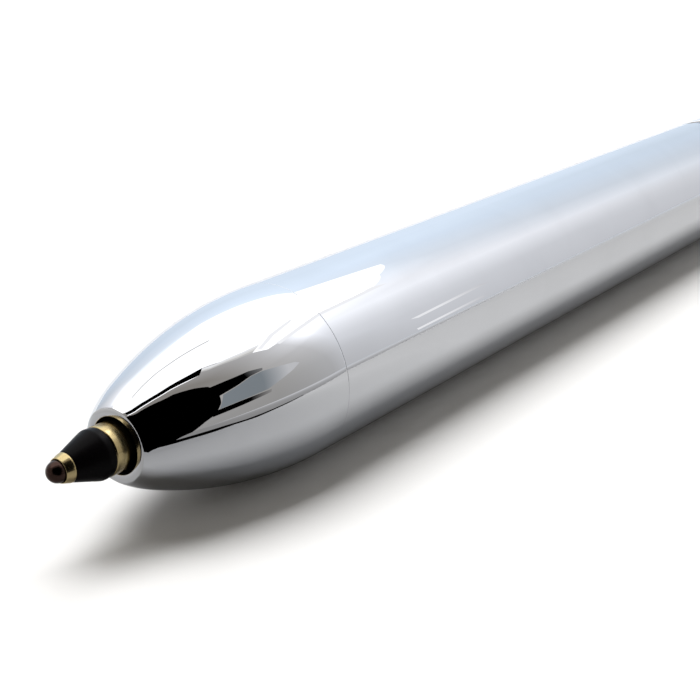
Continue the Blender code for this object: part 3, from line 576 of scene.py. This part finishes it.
class PEN_OT_nose(Operator):
    """Turn the bullet nose with its flat rim, its tip hole and the funnel behind it"""

    bl_idname = "pen.nose"
    bl_label = "Nose"

    def execute(self, context):
        rear, _ = seam_faces(NOSE_END, LOWER_START)
        thread_bore = BARREL_BORE - 0.02
        rim_crest = 1.58
        lip_end = 0.07
        hole_end = 0.35
        funnel_start = (0.8, 1.825)
        funnel_end = (8.3, 3.75)
        steps = 60
        stations = [NOSE_END * (1 - step / steps) for step in range(steps)]
        nose = turn("nose_shell", [
            (rear, thread_bore, 0.03), (rear, BARREL_RADIUS, 0.012),
            *((station, nose_radius(station)) for station in stations),
            (0.03, nose_radius(0), 0.03), (0, rim_crest, 0.12), (0.02, HOLE_RADIUS + 0.02, 0.02),
            (lip_end, HOLE_RADIUS, 0.02), (hole_end, HOLE_RADIUS, 0.03),
            funnel_start, funnel_end, (funnel_end[0], thread_bore),
        ], "nose", "polished_chrome", "nose_cone")
        self.paint_bore_shade(nose, lip_end)
        return {"FINISHED"}

    def paint_bore_shade(self, nose, lip_end):
        """Give the faces behind the hole's lip a near-black metal, which is painted shade in the bore."""
        inside_share = 0.9
        nose.data.materials.append(finish("dull_bore"))
        bpy.ops.object.mode_set(mode="EDIT")
        bpy.ops.mesh.select_mode(type="FACE")
        bpy.ops.mesh.select_all(action="DESELECT")
        mesh = bmesh.from_edit_mesh(nose.data)
        for face in mesh.faces:
            middle = face.calc_center_median() / MM
            station = middle.x + REST_STATION
            radius = math.hypot(middle.y, middle.z - AXIS_HEIGHT)
            outside = nose_radius(min(station, NOSE_END))
            face.select_set(station > lip_end and radius < inside_share * outside)
        bmesh.update_edit_mesh(nose.data)
        nose.active_material_index = 1
        bpy.ops.object.material_slot_assign()
        bpy.ops.object.mode_set(mode="OBJECT")


class PEN_OT_barrels(Operator):
    """Turn the lower barrel, the trim ring at the twist seam, the upper barrel and the tube inside"""

    bl_idname = "pen.barrels"
    bl_label = "Barrels and ring"

    def execute(self, context):
        _, front = seam_faces(NOSE_END, LOWER_START)
        ring_rear, upper_front = seam_faces(RING_END, UPPER_START)
        upper_rear, _ = seam_faces(UPPER_END, COLLAR_START)
        turn("lower_barrel_shell", tube_outline(
            front, LOWER_END, BARREL_BORE, BARREL_RADIUS, (0.02, 0.012, 0.12, 0.05),
        ), "lower_body", "polished_chrome", "lower_barrel")

        middle = (RING_START + RING_END) / 2
        half_groove = 0.2
        groove = BARREL_RADIUS - 0.25
        turn("trim_ring", [
            (RING_START, BARREL_BORE, 0.05), (RING_START, BARREL_RADIUS, 0.15),
            (middle - half_groove, BARREL_RADIUS, 0.06), (middle - half_groove, groove, 0.08),
            (middle + half_groove, groove, 0.08), (middle + half_groove, BARREL_RADIUS, 0.06),
            (ring_rear, BARREL_RADIUS, 0.02), (ring_rear, BARREL_BORE, 0.02),
        ], "upper_body", "polished_chrome", "centre_ring")

        turn("upper_barrel_shell", tube_outline(
            upper_front, upper_rear, BARREL_BORE, BARREL_RADIUS, (0.02, 0.02, 0.02, 0.02),
        ), "upper_body", "polished_chrome", "upper_barrel")

        tube = spin("mechanism_sleeve", tube_outline(
            TUBE_FRONT, TUBE_REAR, TUBE_BORE, TUBE_RADIUS, (0.05, 0.05, 0.05, 0.05),
        ), Matrix.Identity(4))
        self.slot(tube)
        put_on(tube, "cartridge", "brass", "mechanism_tube")
        return {"FINISHED"}

    def slot(self, tube):
        """Cut the slot for the guide key and turn the tube to the key."""
        cutter_depth = 2
        cutter_middle = 3.6
        start_clean()
        bpy.ops.mesh.primitive_cube_add(
            size=1, location=(0, cutter_middle * MM, (SLOT_FRONT + SLOT_REAR) / 2 * MM),
            scale=(SLOT_WIDTH * MM, cutter_depth * MM, (SLOT_REAR - SLOT_FRONT) * MM),
        )
        cut_away(tube, bpy.context.object)
        bpy.ops.object.mode_set(mode="EDIT")
        finish_shape(tube, PEN_PLACE @ Matrix.Rotation(math.radians(CORE_TURN), 4, "Z"))


class PEN_OT_ballpoint(Operator):
    """Turn the refill tube, the black tip cone, the brass socket and the ball"""

    bl_idname = "pen.ballpoint"
    bl_label = "Ballpoint refill"

    def execute(self, context):
        place = refill_place()
        tip = -PIVOT_TO_POINT
        tube_front = tip + 2.81
        tube_rear = 0.4
        turn("refill_tube", [
            (tube_front, REFILL_BORE, 0.02), (tube_front, 1.13, 0.02), (tip + 2.85, REFILL_RADIUS, 0.03),
            (tube_rear, REFILL_RADIUS, 0.05), (tube_rear, REFILL_BORE, 0.05),
        ], "ball_refill", "brass", "ball_refill_tube", place=place, facets=SLIM_FACETS)

        cone_front = tip + 1.0
        shoulder_end = tip + 2.78
        stem_end = tip + 5.5
        cone_bore = 0.42
        cone_front_radius = 0.69
        turn("tip_cone", [
            (cone_front, cone_bore), (cone_front, cone_front_radius, 0.04), (tip + 2.42, 1.18, 0.07),
            (shoulder_end, 1.165, 0.03), (shoulder_end, STEM_RADIUS), (stem_end, STEM_RADIUS, 0.05),
            (stem_end, cone_bore, 0.05),
        ], "ball_refill", "black_plastic", "refill_tip_cone", place=place, facets=SLIM_FACETS)

        lip = tip + 0.55
        edge = tip + 0.92
        socket_rear = tip + 0.97
        turn("tip_socket", [
            (tip + 0.60, 0.525), (tip + 0.80, 0.44), (edge, 0.28), (socket_rear, 0.2),
            (socket_rear, cone_front_radius, 0.02), (edge, cone_front_radius, 0.04),
            (lip, 0.57, 0.025), (lip, 0.535, 0.015),
        ], "ball_refill", "brass", "ball_socket", place=place, facets=SLIM_FACETS)

        ball_radius = 0.5
        turn(
            "inked_ball", arc((tip + ball_radius, 0), ball_radius, 180, 0, 32),
            "writing_ball", "carbide", "writing_ball", place=place, closed=False, facets=64,
        )
        return {"FINISHED"}


class PEN_OT_pencil(Operator):
    """Turn the pencil's sleeve, its tip with the lead pipe, and the lead"""

    bl_idname = "pen.pencil"
    bl_label = "Lead pencil"

    def execute(self, context):
        place = pencil_place()
        point = -PIVOT_TO_POINT
        pipe = point + 0.6
        cone = pipe + 2.0
        cone_end = cone + 3.4
        stem_end = cone_end + 2.5
        pipe_radius = 0.42
        pipe_bore = 0.30
        stem_bore = 0.66
        turn("pencil_cone", [
            (stem_end, STEM_RADIUS, 0.05), (cone_end, STEM_RADIUS), (cone_end, 1.125, 0.06),
            (cone, 0.55, 0.06), (cone, pipe_radius), (pipe, pipe_radius, 0.04), (pipe, pipe_bore, 0.02),
            (cone_end, pipe_bore), (cone_end, stem_bore), (stem_end, stem_bore, 0.05),
        ], "pencil_sleeve", "polished_chrome", "pencil_tip", place=place, facets=SLIM_FACETS)

        sleeve_start = cone_end + 0.05
        sleeve_length = 9.0
        turn("pencil_front", tube_outline(
            sleeve_start, sleeve_start + sleeve_length, REFILL_BORE, REFILL_RADIUS, (0.04, 0.09, 0.09, 0.04),
        ), "pencil_sleeve", "brass", "pencil_sleeve", place=place, facets=SLIM_FACETS)

        lead_radius = 0.25
        lead_end = point + 32.0
        turn("pencil_lead", [
            (point, 0), (point, 0.19, 0.05), (point + 0.14, lead_radius, 0.05), (lead_end, lead_radius, 0.03),
            (lead_end, 0),
        ], "pencil_unit", "graphite", "lead", place=place, closed=False, facets=48)
        return {"FINISHED"}


class PEN_OT_tail(Operator):
    """Turn the clip collar, the eraser in its ferrule, the sealing ring and the crown"""

    bl_idname = "pen.tail"
    bl_label = "Collar, eraser and crown"

    def execute(self, context):
        _, front = seam_faces(UPPER_END, COLLAR_START)
        rear, crown_front = seam_faces(COLLAR_END, CROWN_START)
        spigot = 3.5
        spigot_end = 132.0
        plug = 4.06
        plug_start = COLLAR_START - 4.0
        bore = 2.5
        groove = 3.1
        groove_start = COLLAR_END + 0.6
        groove_end = groove_start + 0.55
        turn("clip_band", [
            (spigot_end, spigot, 0.1), (groove_end, spigot, 0.04), (groove_end, groove, 0.04),
            (groove_start, groove, 0.04), (groove_start, spigot, 0.04), (rear, spigot, 0.02),
            (rear, BARREL_RADIUS, 0.02), (front, BARREL_RADIUS, 0.02), (front, plug), (plug_start, plug, 0.1),
            (plug_start, bore, 0.05), (spigot_end, bore, 0.05),
        ], "upper_body", "polished_chrome", "clip_collar")

        ring_middle = ((groove_start + groove_end) / 2, 3.35)
        ring_radius = 0.225
        turn(
            "sealing_ring", arc(ring_middle, ring_radius, 0, 345, 23),
            "upper_body", "black_rubber", "crown_o_ring", facets=SLIM_FACETS,
        )

        edge_radius = 1.6
        edge = arc((CROWN_END - edge_radius, BARREL_RADIUS - edge_radius), edge_radius, 0, 90, 14)
        line_start = crown_front + 1.2
        line_end = crown_front + 1.5
        line_radius = BARREL_RADIUS - 0.12
        crown_bore = 3.6
        bore_end = 134.7
        hollow_radius = 2.8
        hollow_end = 135.5
        turn("crown_cap", [
            (CROWN_END, 0), *edge, (line_end, BARREL_RADIUS, 0.05), (line_end, line_radius, 0.05),
            (line_start, line_radius, 0.05), (line_start, BARREL_RADIUS, 0.05),
            (crown_front, BARREL_RADIUS, 0.02), (crown_front, crown_bore, 0.05), (bore_end, crown_bore, 0.3),
            (hollow_end, hollow_radius, 0.3), (hollow_end, 0),
        ], "crown", "polished_chrome", "crown", closed=False)

        self.fit_eraser()
        return {"FINISHED"}

    def fit_eraser(self):
        end = 133.0
        start = end - 7.4
        radius = 2.45
        bore = 2.2
        groove = 2.38
        turn("eraser_sleeve", [
            (end, bore, 0.05), (end, radius, 0.08), (end - 0.3, radius, 0.04), (end - 0.38, groove, 0.04),
            (end - 0.52, groove, 0.04), (end - 0.6, radius, 0.04), (start, radius, 0.05), (start, bore, 0.05),
        ], "upper_body", "brass", "eraser_ferrule", facets=SLIM_FACETS)

        eraser_start = 127.2
        eraser_end = 135.2
        eraser_radius = 2.15
        turn("eraser_plug", [
            (eraser_end, 0), (eraser_end, eraser_radius, 0.4), (eraser_start, eraser_radius, 0.1),
            (eraser_start, 0),
        ], "upper_body", "eraser_rubber", "eraser", closed=False, facets=SLIM_FACETS)


class PEN_OT_clip(Operator):
    """Cut the sprung clip from plate, slot it for its hinge, drill it for the pin and round its edges"""

    bl_idname = "pen.clip"
    bl_label = "Clip and hinge boss"

    def execute(self, context):
        width = 3.2
        top = 1.9
        underside = 1.0
        tail_underside = 0.9
        heel_low = 0.1
        knuckle = 0.85
        pad = (-38.6, 0.4)
        outline = [
            *arc((3.0, top - 0.6), 0.6, 0, 90, 8), *arc((-39.6, top - 0.8), 0.8, 90, 180, 8),
            *arc(pad, 1.0, 190, 350, 14), (pad[0] + 2.0, underside), (-knuckle, underside),
            *arc((0, 0), knuckle, 180, 360, 20), (knuckle, tail_underside), (2.0, tail_underside),
            (2.4, heel_low), (3.6, heel_low),
        ]
        clip = plate("clip_blade", outline, width, 0, Matrix.Identity(4))
        self.cut_hinge(clip)
        round_edges(clip, context.scene.pen_sizes.clip_edge, angle=55)
        bpy.ops.object.mode_set(mode="EDIT")
        finish_shape(clip, clip_place(), smooth_angle=40)
        put_on(clip, "clip", "polished_chrome", "clip")

        boss_radius = 0.7
        boss_foot = -1.2
        boss_width = 1.7
        boss_edge = 0.06 * MM
        boss = plate("hinge_boss", [
            (boss_radius, boss_foot), *arc((0, 0), boss_radius, 0, 180, 16), (-boss_radius, boss_foot),
        ], boss_width, boss_edge, clip_place())
        put_on(boss, "upper_body", "polished_chrome")
        return {"FINISHED"}

    def cut_hinge(self, clip):
        """Slot the clip's knuckle for the boss and drill it for the pin."""
        slot_middle = -0.65
        slot_height = 2.9
        slot_width = 1.9
        slot_length = 2.6
        pin_hole = 0.47
        drill_depth = 6
        bpy.ops.mesh.primitive_cube_add(
            size=1, location=(slot_middle * MM, 0, 0),
            scale=(slot_height * MM, slot_width * MM, slot_length * MM),
        )
        cut_away(clip, bpy.context.object)
        start_clean()
        bpy.ops.mesh.primitive_cylinder_add(
            vertices=32, radius=pin_hole * MM, depth=drill_depth * MM, location=(0, 0, 0),
            rotation=(math.pi / 2, 0, 0),
        )
        cut_away(clip, bpy.context.object)


class PEN_OT_bush(Operator):
    """Turn the brass bush that the nose screws on"""

    bl_idname = "pen.bush"
    bl_label = "Nose bush"

    def execute(self, context):
        pitch = context.scene.pen_sizes.thread_pitch / MM
        start = 8.6
        end = 16.15
        bore = 3.8
        root = 3.9
        crest = 4.05
        turns = int((NOSE_END - start - 0.2) / pitch)
        thread = []
        for index in range(turns):
            at = start + 0.1 + index * pitch
            thread += [(at, root, 0.03), (at + pitch / 2, crest, 0.04)]
        turn("nose_bush", [
            (start, bore, 0.03), (start, 3.88, 0.03), *thread, (NOSE_END, root, 0.03),
            (NOSE_END + 0.1, crest, 0.03), (end, crest, 0.1), (end, bore, 0.03),
        ], "lower_body", "brass", "front_bush")
        return {"FINISHED"}


class PEN_OT_springs(Operator):
    """Wind the coil springs that are pressed together as the pen works"""

    bl_idname = "pen.springs"
    bl_label = "Springs"

    def execute(self, context):
        """Starts and still ends are along the pen from the frame's origin, in millimetres. The still ends are
        not used.
        """
        middle = (0, AXIS_HEIGHT * MM)
        pencil = JOINTS["pencil_tilt"]["pos_m"][1:]
        self.fit(
            "feed_coil", "feed_spring", "lower_body", "feed_press", middle,
            radius=3.95, wire=0.2, length=9.3, coils=5, start=4.1, still_end=4.1, travel=1.2,
        )
        self.fit(
            "pencil_coil", "pencil_return_spring", "cartridge", "pencil_slide", pencil,
            radius=0.93, wire=0.3, length=20.0, coils=8, start=43.4, still_end=43.4, travel=12.0,
        )
        self.fit(
            "lead_coil", "pencil_spring", "pencil_unit", "lead_feed", pencil,
            radius=0.745, wire=0.14, length=3.6, coils=5, start=-20.95, still_end=-17.35, travel=0.8,
        )
        return {"FINISHED"}

    def fit(self, name, node, body, joint, axis, radius, wire, length, coils, start, still_end, travel):
        place = Matrix.Translation((start * MM, *axis)) @ ALONG_PEN
        coil = wind(name, radius, wire, length, coils, place)
        put_on(coil, body, "spring_steel", node)
        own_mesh(coil)


class PEN_OT_inside(Operator):
    """Give the nodes that keep their frame shape the finish of their material"""

    bl_idname = "pen.inside"
    bl_label = "Inside finishes"

    def execute(self, context):
        for node in frame["nodes"].values():
            if node.hide_render:
                continue
            slot = node.data.materials[0].name.split(".")[0]
            node.data.materials.clear()
            node.data.materials.append(finish(slot))
        return {"FINISHED"}


def card_material(name, colour, end_colour=None, fade=None):
    """A glowing card, which may go over to an end colour along the pen."""
    material, tree, surface = new_material(name)
    tree.nodes.remove(surface)
    shown = opaque(colour)
    if end_colour:
        along = split(tree, add_node(tree, "TexCoord").outputs["Generated"])["X"]
        shown = mix(tree, spread(tree, along, *fade), opaque(colour), opaque(end_colour))
    glow = add_node(tree, "Emission", {"Color": shown})
    feed(tree, tree.nodes["Material Output"], {"Surface": glow.outputs[0]})
    return material


class PEN_OT_stage(Operator):
    """Lay the floor, hang the soft light with its cards and flags, and set the camera"""

    bl_idname = "pen.stage"
    bl_label = "Stage"

    camera_place = Vector((-0.073463, -0.037986, 0.027541))
    heading_angle = math.radians(36.028)
    pitch_down = math.radians(20.134)
    sensor_width = 36
    clip_start = 0.001
    nose_middle = Vector((-0.0365, -0.003, 0.0055))
    floor_size = 4
    lamp_aim = Vector((-0.02, 0, 0))
    lamp_from_aim = Vector((0.02, 0.115, 0.44))
    lamp_length = 0.40
    lamp_width = 0.30
    ambient_tint = (1.06, 0.99, 0.88)
    # Bluish colour of the painted light that the floor gives glossy rays.
    painted_light_tint = (0.95, 1.02, 1.12)

    def execute(self, context):
        settings = context.scene.pen_stage
        self.heading = Vector((math.cos(self.heading_angle), math.sin(self.heading_angle), 0))
        self.right = Vector((self.heading.y, -self.heading.x, 0))
        self.lay_floor(settings)
        self.hang_light(settings)
        self.hang_cards()
        self.set_world(context, settings)
        self.set_camera(context, settings)
        context.scene.view_settings.view_transform = "Standard"
        return {"FINISHED"}

    def lay_floor(self, settings):
        """White to the camera. Polished metal shows a greyer floor with painted shade, darkest near the
        camera, and painted light far off, behind the pen and at the edge of the pen's shadow.
        """
        start_clean()
        bpy.ops.mesh.primitive_plane_add(size=self.floor_size, location=(0, 0, 0))
        floor = bpy.context.object
        floor.name = "floor"
        material, tree, surface = new_material("pale_floor")
        path = add_node(tree, "LightPath").outputs
        place = object_place(tree)
        x, y, _ = split(tree, place)
        below_camera = (self.camera_place.x, self.camera_place.y, 0)
        from_camera = vector_math(tree, "DISTANCE", place, below_camera)["Value"]
        from_middle = vector_math(tree, "LENGTH", place)["Value"]

        # Painted shade: to glossy rays the floor is greyer, and darker still near the camera.
        mirrored_painted_shade = spread(tree, from_camera, 0.038, 0.070, 0.222, 0.485)
        feed(tree, surface, {
            "Roughness": 0.9,
            "Specular IOR Level": 0.0,
            "Base Color": mix(tree, path["Is Glossy Ray"], opaque(settings.floor), mirrored_painted_shade),
        })

        # Painted light for glossy rays: glow far off, at the edge of the pen's shadow under the pen, and
        # behind the nose.
        painted_light_far_off = spread(tree, from_middle, 0.08, 0.46, 0.0, 0.44)
        under = spread(tree, y, -0.0042, -0.0020, 0.075, 0.0)
        behind = combine(
            tree, "MULTIPLY", spread(tree, y, 0.004, 0.016, 0.0, 0.36), spread(tree, x, -0.050, -0.040),
        )
        mirrored_painted_light = combine(tree, "ADD", painted_light_far_off, combine(tree, "ADD", under, behind))
        mirrored_painted_light = combine(tree, "MULTIPLY", mirrored_painted_light, path["Is Glossy Ray"])
        direct = combine(tree, "MULTIPLY", spread(tree, from_middle, 0.06, 0.30), path["Is Camera Ray"])
        glow = add_node(tree, "Emission", {
            "Color": mix(tree, path["Is Glossy Ray"], (1, 1, 1, 1), opaque(self.painted_light_tint)),
            "Strength": combine(tree, "ADD", direct, mirrored_painted_light),
        })
        both = add_node(tree, "AddShader", {0: surface.outputs[0], 1: glow.outputs[0]})
        feed(tree, tree.nodes["Material Output"], {"Surface": both.outputs[0]})
        floor.data.materials.append(material)

    def hang_light(self, settings):
        start_clean()
        turn_to = (-self.lamp_from_aim).to_track_quat("-Z", "Y").to_euler()
        bpy.ops.object.light_add(type="AREA", location=self.lamp_aim + self.lamp_from_aim, rotation=turn_to)
        lamp = bpy.context.object
        lamp.name = "soft_light"
        lamp.data.shape = "RECTANGLE"
        lamp.data.size = self.lamp_length
        lamp.data.size_y = self.lamp_width
        lamp.data.energy = settings.soft_light
        lamp.visible_camera = False
        lamp.visible_glossy = False

    def hang_cards(self):
        """Cards and flags round the pen, which only the polished metal shows."""
        black = card_material("flag_black", (0, 0, 0))
        self.stand_front_cards(black)
        self.hang_ceiling_cards(black)
        self.lay_ground_cards(black)
        self.stand_streak_cards()

    def stand_front_cards(self, black):
        """Corners are (up, across) as shares of the distance to the cards."""
        wedge = card_material("flag_wedge", (0, 0, 0), (0.22, 0.22, 0.22), (0.62, 1.0))
        line = card_material("flag_line", (0, 0, 0), (0.30, 0.29, 0.28), (0.60, 1.0))
        pale = card_material("card_pale", (0.235, 0.262, 0.28), (0.62, 0.62, 0.63), (0.45, 0.80))
        azimuth = math.radians(-105)
        rise = math.radians(30)
        reach = 250
        across = Vector((-math.sin(azimuth), math.cos(azimuth), 0))
        level = Vector((math.cos(azimuth), math.sin(azimuth), 0))
        normal = Vector((math.cos(rise) * level.x, math.cos(rise) * level.y, math.sin(rise)))
        up = normal.cross(across)
        front = Matrix((across, up.cross(across), up)).transposed().to_4x4()
        front.translation = self.nose_middle + normal * reach * MM
        for name, material, corners in (
            ("flag_front", black, (
                (-0.60, 0.29), (-0.41, 0.335), (-0.31, 0.377), (-0.24, 0.385), (-0.08, 0.391), (0.108, 0.373),
                (0.44, 0.313), (0.59, 0.233), (0.78, 0.105), (0.87, -0.17), (1.0, -0.57), (1.2, -0.9),
                (1.4, -1.6), (1.4, -3.0), (-0.60, -3.0),
            )),
            ("flag_wedge", wedge, (
                (0.09, 0.36), (0.155, 0.482), (0.246, 0.593), (0.27, 0.694), (0.322, 0.702), (0.375, 0.59),
                (0.375, 0.474), (0.40, 0.30),
            )),
            ("flag_line", line, (
                (-0.35, 0.37), (-0.325, 0.57), (-0.285, 0.80), (-0.22, 0.79), (-0.208, 0.554), (-0.215, 0.37),
            )),
            ("card_panel", pale, (
                (-0.205, 0.395), (-0.198, 0.56), (-0.19, 0.75), (0.02, 1.0), (0.12, 1.08), (0.17, 1.02),
                (0.25, 0.69), (0.235, 0.60), (0.145, 0.49), (0.085, 0.395),
            )),
        ):
            points = [(up_by * reach, across_by * reach) for up_by, across_by in corners]
            self.card(name, points, front, material)

    def ceiling(self, height):
        """Level at a height over the nose, with along to the far side and across to the right."""
        place = Matrix((self.right, Vector((0, 0, -1)), self.heading)).transposed().to_4x4()
        place.translation = Vector((-0.036, 0, height))
        return place

    def hang_ceiling_cards(self, black):
        white = card_material("card_white", (1.5, 1.5, 1.5))
        grey = card_material("flag_grey", (0.62, 0.62, 0.61))
        light_grey = card_material("flag_light_grey", (1.12, 1.12, 1.13))
        key = card_material("card_key", (4.0, 4.0, 4.0))

        upper = [(-150, -230), (-117, -126), (-78, -22), (-25, 59), (-7, 103), (11, 131)]
        lower = [(-38, 166), (-47, 137), (-60, 88), (-122, 2), (-170, -90), (-210, -190)]
        border = self.ceiling(0.45)
        self.card("flag_border", [*upper, *lower], border, black)
        self.card("card_border", [
            *lower, (-222, -180), (-182, -80), (-132, 10), (-68, 94), (-53, 142),
        ], border, white)
        self.card("card_ceiling", [
            (-190, -600), *upper, (22, 254), (60, 385), (100, 392), (424, 405), (498, 314), (610, 234),
            (650, 60), (600, -180), (456, -260), (323, -347), (200, -450), (0, -600),
        ], self.ceiling(0.455), white)

        edge_height = 0.4548
        edge_step = 0.0002
        edge_colour = (1.0, 0.985, 0.95)
        inner = [(92, 290), (88, 285), (52, 250), (10, 180), (8, 135)]
        for step, (level, outer) in enumerate((
            (0.66, [(-14, 135), (-20, 180), (10, 268), (40, 316)]),
            (0.88, [(-8, 135), (-11, 180), (24, 264), (58, 308)]),
            (1.10, [(-4, 135), (-6, 180), (38, 256), (74, 298)]),
        )):
            name = f"card_edge_{step}"
            softer = card_material(name, shade(edge_colour, level))
            self.card(name, [*inner, *outer], self.ceiling(edge_height - edge_step * step), softer)
        self.card("card_key", [
            (250, 100), (250, 380), (415, 396), (485, 314), (560, 230), (560, 100),
        ], self.ceiling(0.453), key)

        flags = self.ceiling(0.448)
        self.card("flag_hairline", [
            (43, -174), (166, -113), (189, -60), (211, 8), (222, 4), (201, -68), (177, -124), (46, -188),
        ], flags, grey)
        self.card("flag_strip", [(100, 376), (424, 388), (424, 424), (100, 411)], flags, light_grey)
        self.card("flag_fold", [
            (60, 312), (92, 298), (150, 272), (266, 276), (266, 296), (150, 300), (92, 322), (60, 338),
        ], flags, light_grey)

    def lay_ground_cards(self, black):
        """Corners are (y, x) on the floor. The black flags lie just over the table card."""
        table = card_material("card_table", (0.29, 0.285, 0.28), (0.66, 0.665, 0.68), (0.0105, 0.1157))
        near = [
            (-21, -48), (-25, -42), (-27.5, -38), (-28, -34), (-32, -29), (-30.5, -25), (-35.5, -18),
            (-45, -4), (-58, 36), (-108, 180),
        ]
        far = [(-47, -4), (-40, -18), (-38, -25), (-44, -29), (-46, -34), (-48, -38), (-50, -42), (-50, -48)]
        ground = Matrix(((1, 0, 0), (0, 0, 1), (0, -1, 0))).to_4x4()
        ground.translation = Vector((0, 0, 0.0002))
        self.card("card_table_edge", [*near, (-2000, 1800), (-2000, -48)], ground, table)
        ground.translation = Vector((0, 0, 0.0004))
        # A black strip along the table card's edge: painted shadow under that edge, seen only in reflections.
        self.card("flag_edge", [*near[:-2], *far], ground, black)
        self.card("flag_floor", [
            (-13, -45), (-24, -45.5), (-50, -44), (-400, -42), (-400, -300), (-13, -300),
        ], ground, black)

    def stand_streak_cards(self):
        """Corners are (up, across)."""
        streak = card_material("card_streak", (1.02, 1.02, 1.03), (0.70, 0.70, 0.72), (0.35, 1.0))
        aside = Matrix.Rotation(math.radians(56), 4, "Z")
        aside.translation = Vector((0.48, -0.33, 0))
        self.card("card_streak_high", [(111, -31), (129, -31), (137, 14), (119, 14)], aside, streak)
        self.card("card_streak_low", [(14, -46), (30, -46), (40, -7), (24, -7)], aside, streak)

    def card(self, name, corners, place, material):
        sheet = draw_outline(name, corners, closed=True)
        bpy.ops.mesh.edge_face_add()
        bpy.ops.object.mode_set(mode="OBJECT")
        settle(sheet, place)
        sheet.data.materials.append(material)
        sheet.visible_camera = False
        sheet.visible_diffuse = False
        sheet.visible_shadow = False
        sheet.visible_transmission = False

    def set_world(self, context, settings):
        """White to the camera and low for diffuse light. Polished metal shows a bright ceiling over a bluish
        far side, a brighter band to the right and a grey room in front."""
        world = bpy.data.worlds.new("studio")
        context.scene.world = world
        world.use_nodes = True
        tree = world.node_tree
        path = add_node(tree, "LightPath").outputs
        direction = add_node(tree, "TexCoord").outputs["Generated"]
        far, right, up = (
            vector_math(tree, "DOT_PRODUCT", direction, axis)["Value"]
            for axis in (self.heading, self.right, Vector((0, 0, 1)))
        )
        height = ramp(tree, up, (
            (0, 0.68), (0.10, 0.705), (0.20, 0.73), (0.28, 0.755), (0.36, 0.82), (0.45, 0.893), (0.50, 0.943),
            (0.55, 1.02), (0.58, 1.08), (0.61, 1.26), (0.65, 1.35), (1, 1.4),
        ))
        band = ramp(tree, right, (
            (0.10, 1.0), (0.22, 0.93), (0.32, 0.91), (0.43, 0.92), (0.53, 0.95), (0.62, 1.04), (0.70, 1.17),
            (0.77, 1.09), (0.85, 1.0),
        ))
        room = ramp(tree, far, (
            (0.55, (0.985, 1.0, 1.04)), (0.70, (0.88, 0.95, 1.035)), (0.80, (0.94, 1.05, 1.18)),
            (0.86, (0.985, 1.12, 1.28)), (0.93, (1.06, 1.21, 1.38)), (0.97, (1.14, 1.30, 1.49)),
            (1, (1.16, 1.32, 1.51)),
        ))
        for level in (height, band):
            room = vector_math(tree, "MULTIPLY", room, level)["Vector"]
        front = ramp(tree, up, (
            (0, (0.365, 0.357, 0.345)), (0.30, (0.40, 0.39, 0.375)), (0.52, (0.45, 0.435, 0.415)),
            (0.72, (0.32, 0.305, 0.285)), (0.85, (0.28, 0.262, 0.24)),
        ))
        share = ramp(tree, spread(tree, far, -0.20, 0.30), ((0, 0.0), (0.4, 0.19), (0.70, 0.38), (1, 1.0)))
        shown = mix(tree, path["Is Camera Ray"], mix(tree, share, front, room), (1, 1, 1, 1))
        seen = combine(tree, "MAXIMUM", path["Is Camera Ray"], path["Is Glossy Ray"])
        seen = combine(tree, "MAXIMUM", seen, path["Is Transmission Ray"])
        ambient = opaque(shade(self.ambient_tint, settings.ambient))
        feed(tree, tree.nodes["Background"], {"Color": mix(tree, seen, ambient, shown)})

    def set_camera(self, context, settings):
        look = self.heading * math.cos(self.pitch_down) - Vector((0, 0, math.sin(self.pitch_down)))
        turn_to = look.to_track_quat("-Z", "Y").to_euler()
        bpy.ops.object.camera_add(location=self.camera_place, rotation=turn_to)
        camera = bpy.context.object
        camera.name = "photo_camera"
        camera.data.lens = settings.lens
        camera.data.sensor_width = self.sensor_width
        camera.data.clip_start = self.clip_start
        context.scene.camera = camera


OPERATORS = (
    PEN_OT_nose, PEN_OT_barrels, PEN_OT_ballpoint, PEN_OT_pencil, PEN_OT_tail, PEN_OT_clip, PEN_OT_bush,
    PEN_OT_springs, PEN_OT_inside, PEN_OT_stage,
)


class VIEW3D_PT_pen(Panel):
    """Lists the pen's settings, and its pieces in the order they are made"""

    bl_label = "Twist Pen"
    bl_space_type = "VIEW_3D"
    bl_region_type = "UI"
    bl_category = "Pen"

    def draw(self, context):
        layout = self.layout
        for group in (context.scene.pen_sizes, context.scene.pen_finishes, context.scene.pen_stage):
            box = layout.box()
            for name in group.__annotations__:
                box.prop(group, name)
        for maker in OPERATORS:
            layout.operator(maker.bl_idname)


CLASSES = (PenSizes, PenFinishes, PenStage, *OPERATORS, VIEW3D_PT_pen)


def register():
    for cls in CLASSES:
        bpy.utils.register_class(cls)
    bpy.types.Scene.pen_sizes = PointerProperty(type=PenSizes)
    bpy.types.Scene.pen_finishes = PointerProperty(type=PenFinishes)
    bpy.types.Scene.pen_stage = PointerProperty(type=PenStage)


def unregister():
    del bpy.types.Scene.pen_stage
    del bpy.types.Scene.pen_finishes
    del bpy.types.Scene.pen_sizes
    for cls in reversed(CLASSES):
        bpy.utils.unregister_class(cls)


def main():
    register()
    bpy.ops.pen.nose()
    bpy.ops.pen.barrels()
    bpy.ops.pen.ballpoint()
    bpy.ops.pen.pencil()
    bpy.ops.pen.tail()
    bpy.ops.pen.clip()
    bpy.ops.pen.bush()
    bpy.ops.pen.springs()
    bpy.ops.pen.inside()
    bpy.ops.pen.stage()


if __name__ == "__main__":
    main()
